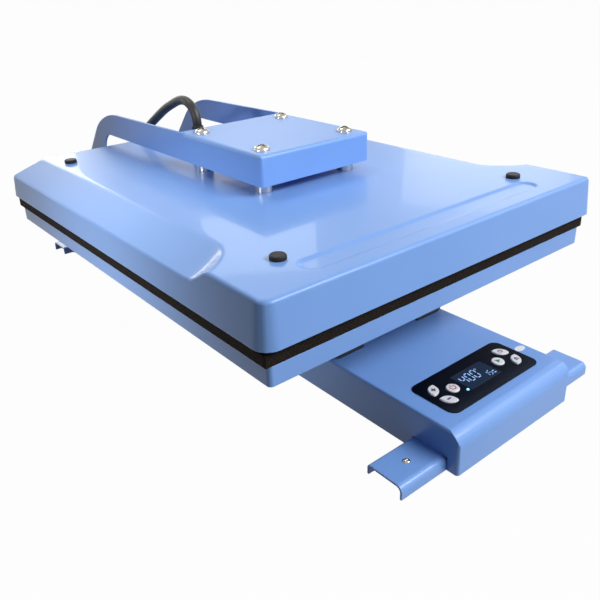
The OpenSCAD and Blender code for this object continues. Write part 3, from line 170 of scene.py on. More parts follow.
FINISHES: Tuple[Finish, ...] = (
    # Periwinkle-blue gloss powder coat, sprayed on phosphated steel sheet and baked
    Finish(
        "blue_paint", "#7DA8E9", "#78A3E5", (0.34, 0.38), Grain.PEEL, 2.6, 0.004,
        coat=0.16, coat_roughness=0.05, specular=0.32,
    ),
    # Charcoal satin powder coat on the hidden pedestal and clamps
    Finish("dark_paint", "#33363B", "#2B2E33", (0.48, 0.58), Grain.PEEL, 1.6, 0.012),
    # Galvanised floor plate with its spangle
    Finish("zinc_sheet", "#AEB4B8", "#959CA1", (0.34, 0.48), Grain.CAST, 4.0, 0.010, metallic=1.0),
    # Moulded black rubber of the feet
    Finish("foot_rubber", "#1C1C1E", "#151517", (0.72, 0.84), Grain.CAST, 0.7, 0.040),
    # Soft black rubber plugs pushed over the cover screws
    Finish("plug_rubber", "#1E1C1B", "#161514", (0.50, 0.62), Grain.CAST, 0.5, 0.020, specular=0.3),
    # Dark brown-black silicone sponge, cut from a slab so that its cells are open at the edges; its
    # near-black second colour is painted shade inside the cells
    Finish("sponge", "#342B24", "#0E0B09", (0.90, 0.98), Grain.CELLS, 1.4, 0.60, specular=0.15),
    # Back-printed polyester overlay, glossy and near black
    Finish(
        "overlay_film", "#06070A", "#040507", (0.18, 0.24), Grain.PEEL, 6.0, 0.003,
        coat=0.06, coat_roughness=0.05, specular=0.22,
    ),
    # Tinted window over a negative display
    Finish(
        "display_window", "#1B2637", "#182232", (0.10, 0.14), Grain.PEEL, 9.0, 0.001,
        coat=0.1, coat_roughness=0.04, glow=0.45, specular=0.25,
    ),
    # Clear blue lens of the status light
    Finish("blue_lens", "#9CD2FF", "#7FC0FF", (0.12, 0.18), Grain.PEEL, 2.0, 0.002, glow=1.3),
    # Epoxy-glass board under green solder resist
    Finish("circuit_board", "#1E5A34", "#184B2B", (0.32, 0.42), Grain.BRUSHED, 0.6, 0.004, coat=0.3),
    # Silver-painted moulded buttons
    Finish("silver_plastic", "#EDEDF0", "#E4E4E9", (0.24, 0.32), Grain.PEEL, 0.9, 0.004, coat=0.4),
    # Anodised extruded aluminium
    Finish("anodised_aluminium", "#B4B6BA", "#A6A8AD", (0.30, 0.42), Grain.BRUSHED, 0.5, 0.008, metallic=1.0),
    # Cream moulded case of the solid-state relay
    Finish("relay_plastic", "#D9D8CF", "#CFCDC3", (0.45, 0.55), Grain.CAST, 0.6, 0.008),
    # Black moulded nylon of the inlet, the switch frame and the glands
    Finish("black_plastic", "#202023", "#19191B", (0.40, 0.50), Grain.CAST, 0.6, 0.012),
    # Red moulded rocker
    Finish("red_plastic", "#B3161A", "#A11216", (0.22, 0.30), Grain.PEEL, 1.6, 0.004, coat=0.3),
    # Nickel-plated steel of the head bolts and screws
    Finish("plated_steel", "#B9B6AE", "#A5A198", (0.14, 0.24), Grain.BRUSHED, 0.7, 0.004, metallic=1.0),
    # Zinc-plated steel fasteners
    Finish("zinc_steel", "#B9BCC0", "#A3A7AB", (0.28, 0.40), Grain.CAST, 1.2, 0.006, metallic=1.0),
    # Ground and polished steel bar and turned spacers
    Finish("bright_steel", "#CACBCD", "#B9BBBE", (0.18, 0.30), Grain.BRUSHED, 0.4, 0.006, metallic=1.0),
    # Milled steel with a little oil on it
    Finish("machined_steel", "#85888C", "#74777B", (0.32, 0.44), Grain.BRUSHED, 0.8, 0.010, metallic=1.0),
    # Chemically blackened steel collars
    Finish("black_steel", "#3A3B3E", "#2E2F32", (0.34, 0.44), Grain.CAST, 0.8, 0.006, metallic=1.0),
    # Sintered bronze bushes
    Finish("bronze", "#B58A4C", "#9C743C", (0.34, 0.46), Grain.CAST, 0.5, 0.012, metallic=1.0),
    # Black air-drying enamel on the motor
    Finish("motor_enamel", "#1F2023", "#18191B", (0.34, 0.44), Grain.PEEL, 1.4, 0.010, coat=0.2),
    # Sand-cast aluminium, darkened by heat
    Finish("cast_platen", "#3C3A39", "#2C2A29", (0.50, 0.64), Grain.CAST, 1.8, 0.060, metallic=1.0),
    # Stainless heater sheath, straw-brown from its first firing
    Finish("heater_steel", "#7A6D5E", "#64584B", (0.34, 0.50), Grain.BRUSHED, 1.0, 0.008, metallic=1.0),
    # Needled ceramic-fibre blanket
    Finish("ceramic_fibre", "#EAE7DD", "#DAD6C9", (0.92, 0.98), Grain.FIBRES, 2.0, 0.50, sheen=0.2),
    # Brown phenolic case of the thermal cut-out
    Finish("phenolic", "#4A3528", "#3D2B20", (0.36, 0.48), Grain.CAST, 0.8, 0.008),
    # Black rubber sheath and boot of the heater cable
    Finish("cable_rubber", "#1B1B1D", "#141416", (0.38, 0.50), Grain.CAST, 0.9, 0.018),
)

# Prints and lit figures, which have no slot of their own in the record
LIT_FIGURES = Finish("lit_figures", "#8FB4E0", "#86AAD8", (0.40, 0.50), Grain.PEEL, 1.0, 0.001, glow=0.55)
DARK_PRINT = Finish("dark_print", "#101115", "#0C0D10", (0.35, 0.45), Grain.PEEL, 1.0, 0.001)
RED_PRINT = Finish("red_print", "#C2453F", "#B53C37", (0.35, 0.45), Grain.PEEL, 1.0, 0.001)
GREEN_PRINT = Finish("green_print", "#3F8E62", "#367F56", (0.35, 0.45), Grain.PEEL, 1.0, 0.001)
LABEL_FILM = Finish("label_film", "#F3F5F8", "#E9ECF1", (0.30, 0.40), Grain.PEEL, 1.5, 0.002, coat=0.3)


class NodeGraph:
    """A node tree that is filled from empty by short calls."""

    def __init__(self, tree: bpy.types.NodeTree) -> None:
        """Empty the tree.

        Args:
            tree: Node tree of a material or a world.
        """
        self.tree = tree
        tree.nodes.clear()

    def add(
        self, kind: str, inputs: Optional[Dict[str | int, object]] = None, **settings: object
    ) -> bpy.types.Node:
        """Add one node, and set or join its inputs.

        Args:
            kind: Name of the node type.
            inputs: Socket name or number to a value, or to the output socket that feeds it.
            **settings: Properties of the node itself.

        Returns:
            The new node.
        """
        node = self.tree.nodes.new(kind)
        for key, value in settings.items():
            setattr(node, key, value)
        for key, value in (inputs or {}).items():
            if isinstance(value, Socket):
                self.tree.links.new(value, node.inputs[key])
            else:
                node.inputs[key].default_value = value
        return node

    def combine(self, operation: str, first: object, second: object) -> Socket:
        """Add a node that makes one value of two.

        Args:
            operation: What it does with them.
            first: First value or socket.
            second: Second value or socket.

        Returns:
            The socket that carries the new value.
        """
        return self.add("ShaderNodeMath", {0: first, 1: second}, operation=operation).outputs["Value"]


class MaterialLibrary:
    """Builds each finish once, and hands out its material."""

    def __init__(self) -> None:
        """Start with no material built."""
        self._made: Dict[str, bpy.types.Material] = {}
        self._by_slot = {finish.slot: finish for finish in FINISHES}

    def of_slot(self, slot: str) -> bpy.types.Material:
        """Return the material of a slot of the record.

        Args:
            slot: Name of the slot.

        Returns:
            Its material.
        """
        return self.of(self._by_slot[slot])

    def of(self, finish: Finish) -> bpy.types.Material:
        """Return the material of a finish, and build it the first time.

        Args:
            finish: The finish.

        Returns:
            Its material.
        """
        if finish.slot not in self._made:
            self._made[finish.slot] = self._build(finish)
        return self._made[finish.slot]

    def _build(self, finish: Finish) -> bpy.types.Material:
        """Build the node tree of one finish.

        Args:
            finish: The finish.

        Returns:
            The new material.
        """
        material = bpy.data.materials.new(finish.slot)
        material.use_nodes = True
        graph = NodeGraph(material.node_tree)
        place = graph.add("ShaderNodeTexCoord").outputs["Object"]
        spots = {"Vector": place, "Scale": PATCH_SCALE, "Detail": 3.0}
        patches = graph.add("ShaderNodeTexNoise", spots).outputs["Fac"]
        tone = graph.add("ShaderNodeValToRGB", {"Fac": patches})
        tone.color_ramp.interpolation = "EASE"
        tone.color_ramp.elements[0].position = 0.25
        tone.color_ramp.elements[0].color = srgb(finish.shade)
        tone.color_ramp.elements[1].position = 0.75
        tone.color_ramp.elements[1].color = srgb(finish.colour)
        height = self._relief(graph, finish, place)
        bump = graph.add(
            "ShaderNodeBump", {"Height": height, "Strength": 1.0, "Distance": finish.relief_mm * MM}
        ).outputs["Normal"]
        colour = tone.outputs["Color"]
        if finish.grain is Grain.CELLS:
            # Painted shade: the cut cells are darker inside than at their rims, as shade falls in their
            # hollows
            pore_painted_shade = graph.add("ShaderNodeValToRGB", {"Fac": height})
            pore_painted_shade.color_ramp.elements[0].position = 0.15
            pore_painted_shade.color_ramp.elements[0].color = srgb(finish.shade)
            pore_painted_shade.color_ramp.elements[1].position = 0.6
            pore_painted_shade.color_ramp.elements[1].color = srgb(finish.colour)
            colour = pore_painted_shade.outputs["Color"]
        low, high = finish.roughness
        gloss = {"Value": patches, "To Min": low, "To Max": high}
        rough = graph.add("ShaderNodeMapRange", gloss).outputs["Result"]
        shader = graph.add(
            "ShaderNodeBsdfPrincipled",
            {
                "Base Color": colour,
                "Roughness": rough,
                "Metallic": finish.metallic,
                "Normal": bump,
                "Coat Weight": finish.coat,
                "Coat Roughness": finish.coat_roughness,
                "Sheen Weight": finish.sheen,
                "Specular IOR Level": finish.specular,
            },
        )
        if finish.glow:
            shader.inputs["Emission Color"].default_value = srgb(finish.colour)
            shader.inputs["Emission Strength"].default_value = finish.glow
        graph.add("ShaderNodeOutputMaterial", {"Surface": shader.outputs["BSDF"]})
        return material

    @staticmethod
    def _relief(graph: NodeGraph, finish: Finish, place: Socket) -> Socket:
        """Add the height of a finish's grain.

        Args:
            graph: Tree of the material.
            finish: The finish.
            place: Object coordinates.

        Returns:
            The socket that carries the height.
        """
        scale = 1.0 / (finish.grain_mm * MM)
        if finish.grain is Grain.CELLS:
            cells = graph.add("ShaderNodeTexVoronoi", {"Vector": place, "Scale": scale, "Randomness": 1.0})
            crumbs = graph.add("ShaderNodeTexNoise", {"Vector": place, "Scale": scale * 2.5, "Detail": 4.0})
            return graph.combine("MULTIPLY", cells.outputs["Distance"], crumbs.outputs["Fac"])
        stretch = {Grain.BRUSHED: (0.12, 1.0, 1.0), Grain.FIBRES: (0.35, 0.6, 1.0)}
        drawn = {"Vector": place, "Scale": stretch.get(finish.grain, (1.0, 1.0, 1.0))}
        spread = graph.add("ShaderNodeMapping", drawn).outputs["Vector"]
        detail = 1.0 if finish.grain is Grain.PEEL else 4.0
        return graph.add(
            "ShaderNodeTexNoise", {"Vector": spread, "Scale": scale, "Detail": detail}
        ).outputs["Fac"]


def show(name: str, data: bpy.types.ID) -> bpy.types.Object:
    """Put a mesh, curve, lamp or camera into the scene.

    Args:
        name: Name of the object.
        data: What it shows.

    Returns:
        The new object.
    """
    obj = bpy.data.objects.new(name, data)
    bpy.context.scene.collection.objects.link(obj)
    return obj


@dataclass(frozen=True)
class Edge:
    """How the edges of a dressed piece are broken.

    Attributes:
        width: Width of the bevel, in millimetres.
        steps: Number of its segments.
        limit: Edges that turn by more degrees than this are bevelled.
    """

    width: float
    steps: int = 2
    limit: float = 32.0


class Assembly:
    """The frame's nodes with their bodies and slots, and what all pieces share."""

    def __init__(self, library: MaterialLibrary) -> None:
        """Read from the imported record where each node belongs.

        Args:
            library: Materials of the object.
        """
        self.library = library
        record = frame["record"]
        self.body = {
            node: body for body, nodes in record["behaviour"]["bodies"].items() for node in nodes
        }
        self.slot = {part["node"]: part["material_slot"] for part in record["subparts"]}

    def add(
        self,
        name: str,
        form: bpy.types.Mesh | bpy.types.Curve,
        body: str,
        finish: Finish | str,
        nodes: Sequence[str] = (),
    ) -> bpy.types.Object:
        """Put a finished mesh or curve into the scene as one piece.

        Args:
            name: Name of the piece.
            form: Its mesh or curve, in the shared frame.
            body: CAD body that it rides on.
            finish: A finish, or the name of a slot.
            nodes: CAD nodes that it stands for.

        Returns:
            The new object.
        """
        obj = show(name, form)
        form.materials.clear()
        if isinstance(finish, str):
            form.materials.append(self.library.of_slot(finish))
        else:
            form.materials.append(self.library.of(finish))
        if nodes:
            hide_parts(*nodes)
        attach(obj, body)
        return obj


def mesh_of(bm: bmesh.types.BMesh, name: str) -> bpy.types.Mesh:
    """Turn a bmesh into a smooth-shaded mesh, and free it.

    Args:
        bm: The bmesh.
        name: Name of the mesh.

    Returns:
        The new mesh.
    """
    for face in bm.faces:
        face.smooth = True
    mesh = bpy.data.meshes.new(name)
    bm.to_mesh(mesh)
    bm.free()
    return mesh


def break_edges(obj: bpy.types.Object, edge: Edge) -> None:
    """Give a piece its broken edges, and normals that keep its flats flat.

    Args:
        obj: The piece.
        edge: How its edges are broken.
    """
    if edge.width > 0:
        bevel = obj.modifiers.new("broken_edges", "BEVEL")
        bevel.limit_method = "ANGLE"
        bevel.angle_limit = math.radians(edge.limit)
        bevel.width = edge.width * MM
        bevel.segments = edge.steps
        bevel.harden_normals = True
        bevel.miter_outer = "MITER_ARC"
    normals = obj.modifiers.new("flat_faces", "WEIGHTED_NORMAL")
    normals.keep_sharp = True
    normals.weight = FACE_WEIGHT


@dataclass(frozen=True)
class DressedPiece:
    """A CAD node finished for show: merged, cleaned of its seams, its edges broken.

    Attributes:
        node: The CAD node.
        edge: How its edges are broken.
        padded: True for a soft piece; not used.
    """

    node: str
    edge: Edge
    padded: bool = False

    def build(self, press: Assembly) -> bpy.types.Object:
        """Copy the node's mesh, clean it and add it as a piece.

        Args:
            press: The assembly.

        Returns:
            The new object.
        """
        bm = bmesh.new()
        bm.from_mesh(frame["nodes"][self.node].data)
        bmesh.ops.remove_doubles(bm, verts=bm.verts, dist=MERGE * MM)
        bmesh.ops.dissolve_limit(bm, angle_limit=math.radians(FLAT), verts=bm.verts, edges=bm.edges)
        for face_edge in bm.edges:
            turned = face_edge.calc_face_angle(0.0)
            face_edge.smooth = turned < math.radians(self.edge.limit)
        name = self.node + "_finished"
        mesh = mesh_of(bm, name)
        obj = press.add(name, mesh, press.body[self.node], press.slot[self.node], [self.node])
        break_edges(obj, self.edge)
        return obj


# How the edges of each dressed node are broken, in the order that the pieces are built
EDGES: Dict[str, Edge] = {
    "base_housing": Edge(0.45),
    "base_floor_plate": Edge(0.35),
    "front_foot_channel": Edge(0.45),
    "rear_foot_channel": Edge(0.45),
    "rubber_feet": Edge(0.8, 3),
    "foot_screws": Edge(0.15),
    "control_overlay": Edge(0.08),
    "lcd_window": Edge(0.12),
    "status_led": Edge(0.3, 3),
    "control_board": Edge(0.15),
    "power_button": Edge(0.35, 3),
    "start_button": Edge(0.35, 3),
    "plus_button": Edge(0.35, 3),
    "minus_button": Edge(0.35, 3),
    "timer_button": Edge(0.35, 3),
    "open_button": Edge(0.35, 3),
    "power_supply": Edge(0.4),
    "heater_relay": Edge(0.5),
    "power_inlet": Edge(0.4),
    "inlet_pins": Edge(0.3),
    "switch_frame": Edge(0.4),
    "switch_rocker": Edge(0.3),
    "pedestal_rail_left": Edge(0.5),
    "pedestal_rail_right": Edge(0.5),
    "bed_beams": Edge(0.35),
    "pedestal_bolts": Edge(0.25),
    "bed_tray": Edge(0.5, 3),
    "hinge_tower_left": Edge(0.7),
    "hinge_tower_right": Edge(0.7),
    "tower_bolts": Edge(0.25),
    "hinge_bushes": Edge(0.25),
    "actuator_motor": Edge(0.9, 3),
    "actuator_tube": Edge(0.3),
    "actuator_clamps": Edge(0.4),
    "clamp_bolts": Edge(0.2),
    "actuator_rod": Edge(0.3),
    "rod_fork": Edge(0.5),
    "fork_pin": Edge(0.3),
    "hinge_shaft": Edge(0.5),
    "shaft_collars": Edge(0.4),
    "crank_lever": Edge(0.6),
    "head_arm": Edge(0.8, 3),
    "arm_cross_tie": Edge(0.6),
    "head_bolts": Edge(0.3),
    "head_spacers": Edge(0.3),
    "inner_spacers": Edge(0.3),
    "cover_plugs": Edge(0.3),
    "cover_screws": Edge(0.15),
    "cover_posts": Edge(0.3),
    "insulation_blanket": Edge(1.2, 3),
    "heating_platen": Edge(0.8),
    "heating_element": Edge(0.0),
    "temperature_sensor": Edge(0.2),
    "thermal_cutout": Edge(0.5),
    "cable_glands": Edge(0.5),
    "cable_boot": Edge(0.8, 3),
}


@dataclass(frozen=True)
class HeadCover:
    """The pressed steel cover of the head, with two side recesses and a front groove.

    Attributes:
        half_w: Half its width at the rim.
        front: Its front, along Y.
        rear: Its rear, along Y.
        rim_z: Height of its rim.
        top_z: Height of its top.
        corner: Corner radius at the rim, at the front on the left.
        tight_corner: Corner radius at the rim at the other three corners.
        fold: Radius between top and sides.
        tight_fold: Radius of that fold along a recess.
        draft: How far a side leans out.
        sheet: Thickness of the sheet.
        recess_x: Distance of a recess's inner edge from the middle.
        recess_drop: Depth of a recess at the cover's side.
        ramp_y: Where the front end of a recess begins to curve across it.
        ramp_slope: Slope of that end.
        ramp_bow: Exponent of its outline; 2 is a circle and 1 a straight line.
        groove_y: Middle of the front groove, along Y.
        groove_half_l: Half its length.
        groove_half_w: Half its width.
        groove_d: Its depth.
    """

    half_w: float = 207.5
    front: float = -290.2
    rear: float = 217.1
    rim_z: float = 135.1
    top_z: float = 173.2
    corner: float = 14.0
    tight_corner: float = 7.8
    fold: float = 3.8
    tight_fold: float = 2.8
    draft: float = 3.0
    sheet: float = 1.5
    recess_x: float = 164.0
    recess_drop: float = 14.8
    ramp_y: float = -172.7
    ramp_slope: float = 0.66
    ramp_bow: float = 1.5
    groove_y: float = -258.0
    groove_half_l: float = 147.0
    groove_half_w: float = 11.0
    groove_d: float = 1.4

    @property
    def _run(self) -> float:
        """Width of a recess."""
        return self.half_w - self.recess_x

    def depth(self, x: float, y: float) -> float:
        """How far the surface lies below the top.

        Args:
            x: Place across the cover.
            y: Place along the cover.

        Returns:
            The depth, which is 0 outside the recesses and the groove.
        """
        side = abs(x)
        floor = self.recess_drop * (side - self.recess_x) / self._run
        across, along = max(0.0, self.half_w - side), max(0.0, self.ramp_y - y)
        out = (across**self.ramp_bow + along**self.ramp_bow) ** (1 / self.ramp_bow)
        end = self.ramp_slope * (self._run - out)
        recess = smooth_max(-smooth_max(-floor, -end, 2.4), 0.0, 1.0)
        spine = max(0.0, side - (self.groove_half_l - self.groove_half_w))
        away = math.hypot(spine, y - self.groove_y)
        groove = self.groove_d * (1 - smoothstep(self.groove_half_w - 2.6, self.groove_half_w + 0.4, away))
        return recess + groove

    @staticmethod
    def _lines(bands: Sequence[Pair]) -> List[float]:
        """Place grid lines in bands of different spacing.

        Args:
            bands: Start of each band and its spacing; the last one only ends the one before.

        Returns:
            Places of the lines, in order.
        """
        lines: List[float] = []
        for (start, step), (end, _) in zip(bands, bands[1:]):
            count = max(1, round((end - start) / step))
            lines += [start + (end - start) * i / count for i in range(count)]
        return lines + [bands[-1][0]]

    def build(self, press: Assembly) -> None:
        """Press the cover from one grid: top first, then the fold and the sides.

        Args:
            press: The assembly.
        """
        inset = self.draft + self.fold
        edge_x, low, high = self.half_w - inset, self.front + inset, self.rear - inset
        wide, tight = self.corner - inset, self.tight_corner - inset
        # Fine bands lie where the recesses, the groove and the corners bend
        half = self._lines(
            [(0, 13), (130, 1.6), (150, 2.5), (155, 2.0)]
            + [(edge_x - wide, wide / 4), (edge_x - tight, tight / 4), (edge_x, 0)]
        )
        xs = [-x for x in reversed(half[1:])] + half
        ys = self._lines(
            [(low, tight / 4), (low + tight, wide / 4), (low + wide, 4), (-272, 1.3), (-244, 8)]
            + [(-222, 1.7), (-168, 15), (high - tight, tight / 4), (high, 0)]
        )
        bm = bmesh.new()
        base = bm.verts.layers.float_vector.new("base")
        out = bm.verts.layers.float_vector.new("out")
        bmesh.ops.create_grid(bm, x_segments=len(xs) - 1, y_segments=len(ys) - 1, size=1.0)
        for vert in bm.verts:
            i = round((vert.co.x + 1) / 2 * (len(xs) - 1))
            j = round((vert.co.y + 1) / 2 * (len(ys) - 1))
            rounding = wide if xs[i] < 0 and ys[j] < self.ramp_y else tight
            place, way = self._patch(xs[i], ys[j], edge_x, low, high, rounding)
            vert[base] = (place.x, place.y, 0)
            vert[out] = (way.x, way.y, 0)
            vert.co = (place.x, place.y, self.top_z - self.depth(place.x, place.y))
        rings, side_rings = 10, 3
        rim = [edge for edge in bm.edges if edge.is_boundary]
        for ring in range(1, rings + side_rings + 1):
            made = bmesh.ops.extrude_edge_only(bm, edges=rim)["geom"]
            for vert in (item for item in made if isinstance(item, bmesh.types.BMVert)):
                place, way = Vector(vert[base]), Vector(vert[out])
                offset, z = self._side(place, way, ring / rings)
                vert.co = (place.x + way.x * offset, place.y + way.y * offset, z)
            rim = [item for item in made if isinstance(item, bmesh.types.BMEdge) and item.is_boundary]
        bmesh.ops.recalc_face_normals(bm, faces=bm.faces)
        if sum(face.normal.z for face in bm.faces) < 0:
            bmesh.ops.reverse_faces(bm, faces=bm.faces)
        bmesh.ops.scale(bm, vec=(MM, MM, MM), verts=bm.verts)
        name = "head_cover_pressing"
        obj = press.add(name, mesh_of(bm, name), "head", "blue_paint", ["head_cover"])
        solid = obj.modifiers.new("sheet", "SOLIDIFY")
        solid.thickness = self.sheet * MM
        solid.offset = -1
        solid.use_even_offset = True
        break_edges(obj, Edge(0.4, 2, 60.0))

    @staticmethod
    def _patch(
        x: float, y: float, edge_x: float, low: float, high: float, round_r: float
    ) -> Tuple[Vector, Vector]:
        """Place one crossing of the grid, with the grid's corners bent round.

        Args:
            x: Place of its line across.
            y: Place of its line along.
            edge_x: Half the width of the top.
            low: Front of the top.
            high: Rear of the top.
            round_r: Corner radius of the top.

        Returns:
            The place, and for a crossing on the outline the outward direction.
        """
        side = math.copysign(1.0, x)
        end = 1.0 if y > (low + high) / 2 else -1.0
        u = (abs(x) - edge_x + round_r) / round_r
        v = (end * y - (end * high if end > 0 else -low) + round_r) / round_r
        if u <= 1e-6 or v <= 1e-6:
            way = Vector((0, 0))
            if u > 1 - 1e-6:
                way = Vector((side, 0))
            elif v > 1 - 1e-6:
                way = Vector((0, end))
            return Vector((x, y)), way
        angle = math.pi / 4 * v / u if u >= v else math.pi / 2 - math.pi / 4 * u / v
        way = Vector((side * math.cos(angle), end * math.sin(angle)))
        middle = Vector((side * (edge_x - round_r), (high - round_r) if end > 0 else (low + round_r)))
        reach = max(u, v)
        return middle + way * round_r * reach, way if reach > 1 - 1e-6 else Vector((0, 0))

    def _side(self, place: Vector, way: Vector, share: float) -> Pair:
        """Follow the section through the fold and the side at one place of the outline.

        Args:
            place: Place on the outline of the top.
            way: Outward direction there.
            share: 0 to 1 through the fold, then on to the rim at 1.3.

        Returns:
            Distance outwards from the outline, and height.
        """

        def level(offset: float) -> float:
            return self.top_z - self.depth(place.x + way.x * offset, place.y + way.y * offset)

        drop = self.top_z - level(self.fold)
        lean = self.draft / (self.top_z - self.fold - self.rim_z)
        wall = self.fold + lean * drop
        tight = smoothstep(0.3, 8.0, drop)
        radius = self.fold + (self.tight_fold - self.fold) * tight
        start = wall - radius
        slope = max(0.0, level(start) - level(start + 1.0)) * tight
        tilt = math.atan(slope)
        flat = wall - radius * (1 - math.sin(tilt))
        middle_z = level(flat) - radius * math.cos(tilt)
        if share > 1.0:
            down = min(1.0, (share - 1.0) / 0.3)
            z = middle_z + (self.rim_z - middle_z) * down
            return wall + (self.fold + self.draft - wall) * down, z
        arc = radius * (math.pi / 2 - tilt)
        gone = share * (flat + arc)
        if gone <= flat:
            return gone, level(gone)
        angle = tilt + (gone - flat) / radius
        return wall - radius * (1 - math.sin(angle)), middle_z + radius * math.cos(angle)


@dataclass(frozen=True)
class SpongePad:
    """The silicone sponge pad on the bed, cut from a slab.

    Attributes:
        over_side: How far it hangs over the bed at each side.
        over_front: How far it hangs over the bed at the front.
        pitch: Spacing of its mesh.
        layers: Cuts through its thickness.
        edge: Radius of its worn edges.
        uneven: Depth of the uneven cut.
        lumps: Lumps of that cut, per metre.
    """

    over_side: float = 3.4
    over_front: float = 0.8
    pitch: float = 5.0
    layers: int = 4
    edge: float = 1.1
    uneven: float = 0.28
    lumps: float = 90.0

    def build(self, press: Assembly) -> None:
        """Cut the slab into a fine block, wear its edges and roughen it inwards.

        Args:
            press: The assembly.
        """
        low, high = (Vector(corner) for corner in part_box("silicone_pad"))
        low -= Vector((self.over_side, self.over_front, 0)) * MM
        high += Vector((self.over_side, 0, 0)) * MM
        size = high - low
        bm = bmesh.new()
        place = Matrix.Translation((low + high) / 2) @ Matrix.Diagonal((*size, 1.0))
        bmesh.ops.create_cube(bm, size=1.0, matrix=place)
        counts = (round(size.x / MM / self.pitch), round(size.y / MM / self.pitch), self.layers)
        for axis, cuts in enumerate(counts):
            along = [
                edge
                for edge in bm.edges
                if abs((edge.verts[0].co - edge.verts[1].co)[axis]) > 0.5 * size[axis]
            ]
            bmesh.ops.subdivide_edges(bm, edges=along, cuts=cuts, use_grid_fill=True)
        corners = [edge for edge in bm.edges if edge.calc_face_angle(0.0) > 1.0]
        worn = self.edge * MM
        bmesh.ops.bevel(
            bm, geom=corners, offset=worn, segments=3, profile=0.5, affect="EDGES", material=-1
        )
        bm.normal_update()
        moved = [
            (vert, vert.normal.copy() * self.uneven * MM * abs(noise.noise(vert.co * self.lumps)))
            for vert in bm.verts
        ]
        for vert, shift in moved:
            vert.co -= shift
        name = "silicone_pad_cut"
        obj = press.add(name, mesh_of(bm, name), "base", "sponge", ["silicone_pad"])


@dataclass(frozen=True)
class HeaterCable:
    """The heater cable, from the cover's gland over to the gland on the cross tie.

    Attributes:
        diameter: Its diameter.
        steps: Points laid between two points of the route.
        route: Points that it passes, as in the part's source.
    """

    diameter: float = 10.5
    steps: int = 5
    route: Tuple[Point, ...] = (
        (-33, 65, 166), (-33, 65, 186), (-33, 65, 200), (-33, 65, 212), (-33, 66, 221),
        (-33, 70, 229), (-33, 78, 235), (-32, 90, 237.5), (-32, 104, 236), (-31, 120, 230.5),
        (-31, 140, 222), (-30, 160, 212), (-30, 180, 200.6), (-30, 200, 188.6), (-30, 217, 177.8),
        (-30, 234, 167), (-30, 250, 156.8), (-30, 261.5, 149.5),
    )

    def points(self) -> List[Vector]:
        """Lay a smooth line through the route.

        Returns:
            Points of the line, in metres.
        """
        ends = [Vector(p) for p in self.route]
        ends = [2 * ends[0] - ends[1]] + ends + [2 * ends[-1] - ends[-2]]
        line: List[Vector] = []
        for a, b, c, d in zip(ends, ends[1:], ends[2:], ends[3:]):
            square = 2 * a - 5 * b + 4 * c - d
            cube = 3 * b - a - 3 * c + d
            for step in range(self.steps):
                t = step / self.steps
                line.append(0.5 * (2 * b + (c - a) * t + square * t**2 + cube * t**3))
        line.append(ends[-2])
        return [point * MM for point in line]

    def build(self, press: Assembly, boot: bpy.types.Object) -> None:
        """Args:
            press: The assembly.
            boot: The boot on the cable; not used.
        """
        points = self.points()
        curve = bpy.data.curves.new("heater_cable_run", "CURVE")
        curve.dimensions = "3D"
        curve.bevel_depth = self.diameter / 2 * MM
        curve.bevel_resolution = 7
        curve.use_fill_caps = True
        spline = curve.splines.new("POLY")
        spline.points.add(len(points) - 1)
        for laid, point in zip(spline.points, points):
            laid.co = (*point, 1.0)
        spline.use_smooth = True
        obj = press.add("heater_cable_run", curve, "head", "cable_rubber", ["heater_cable"])


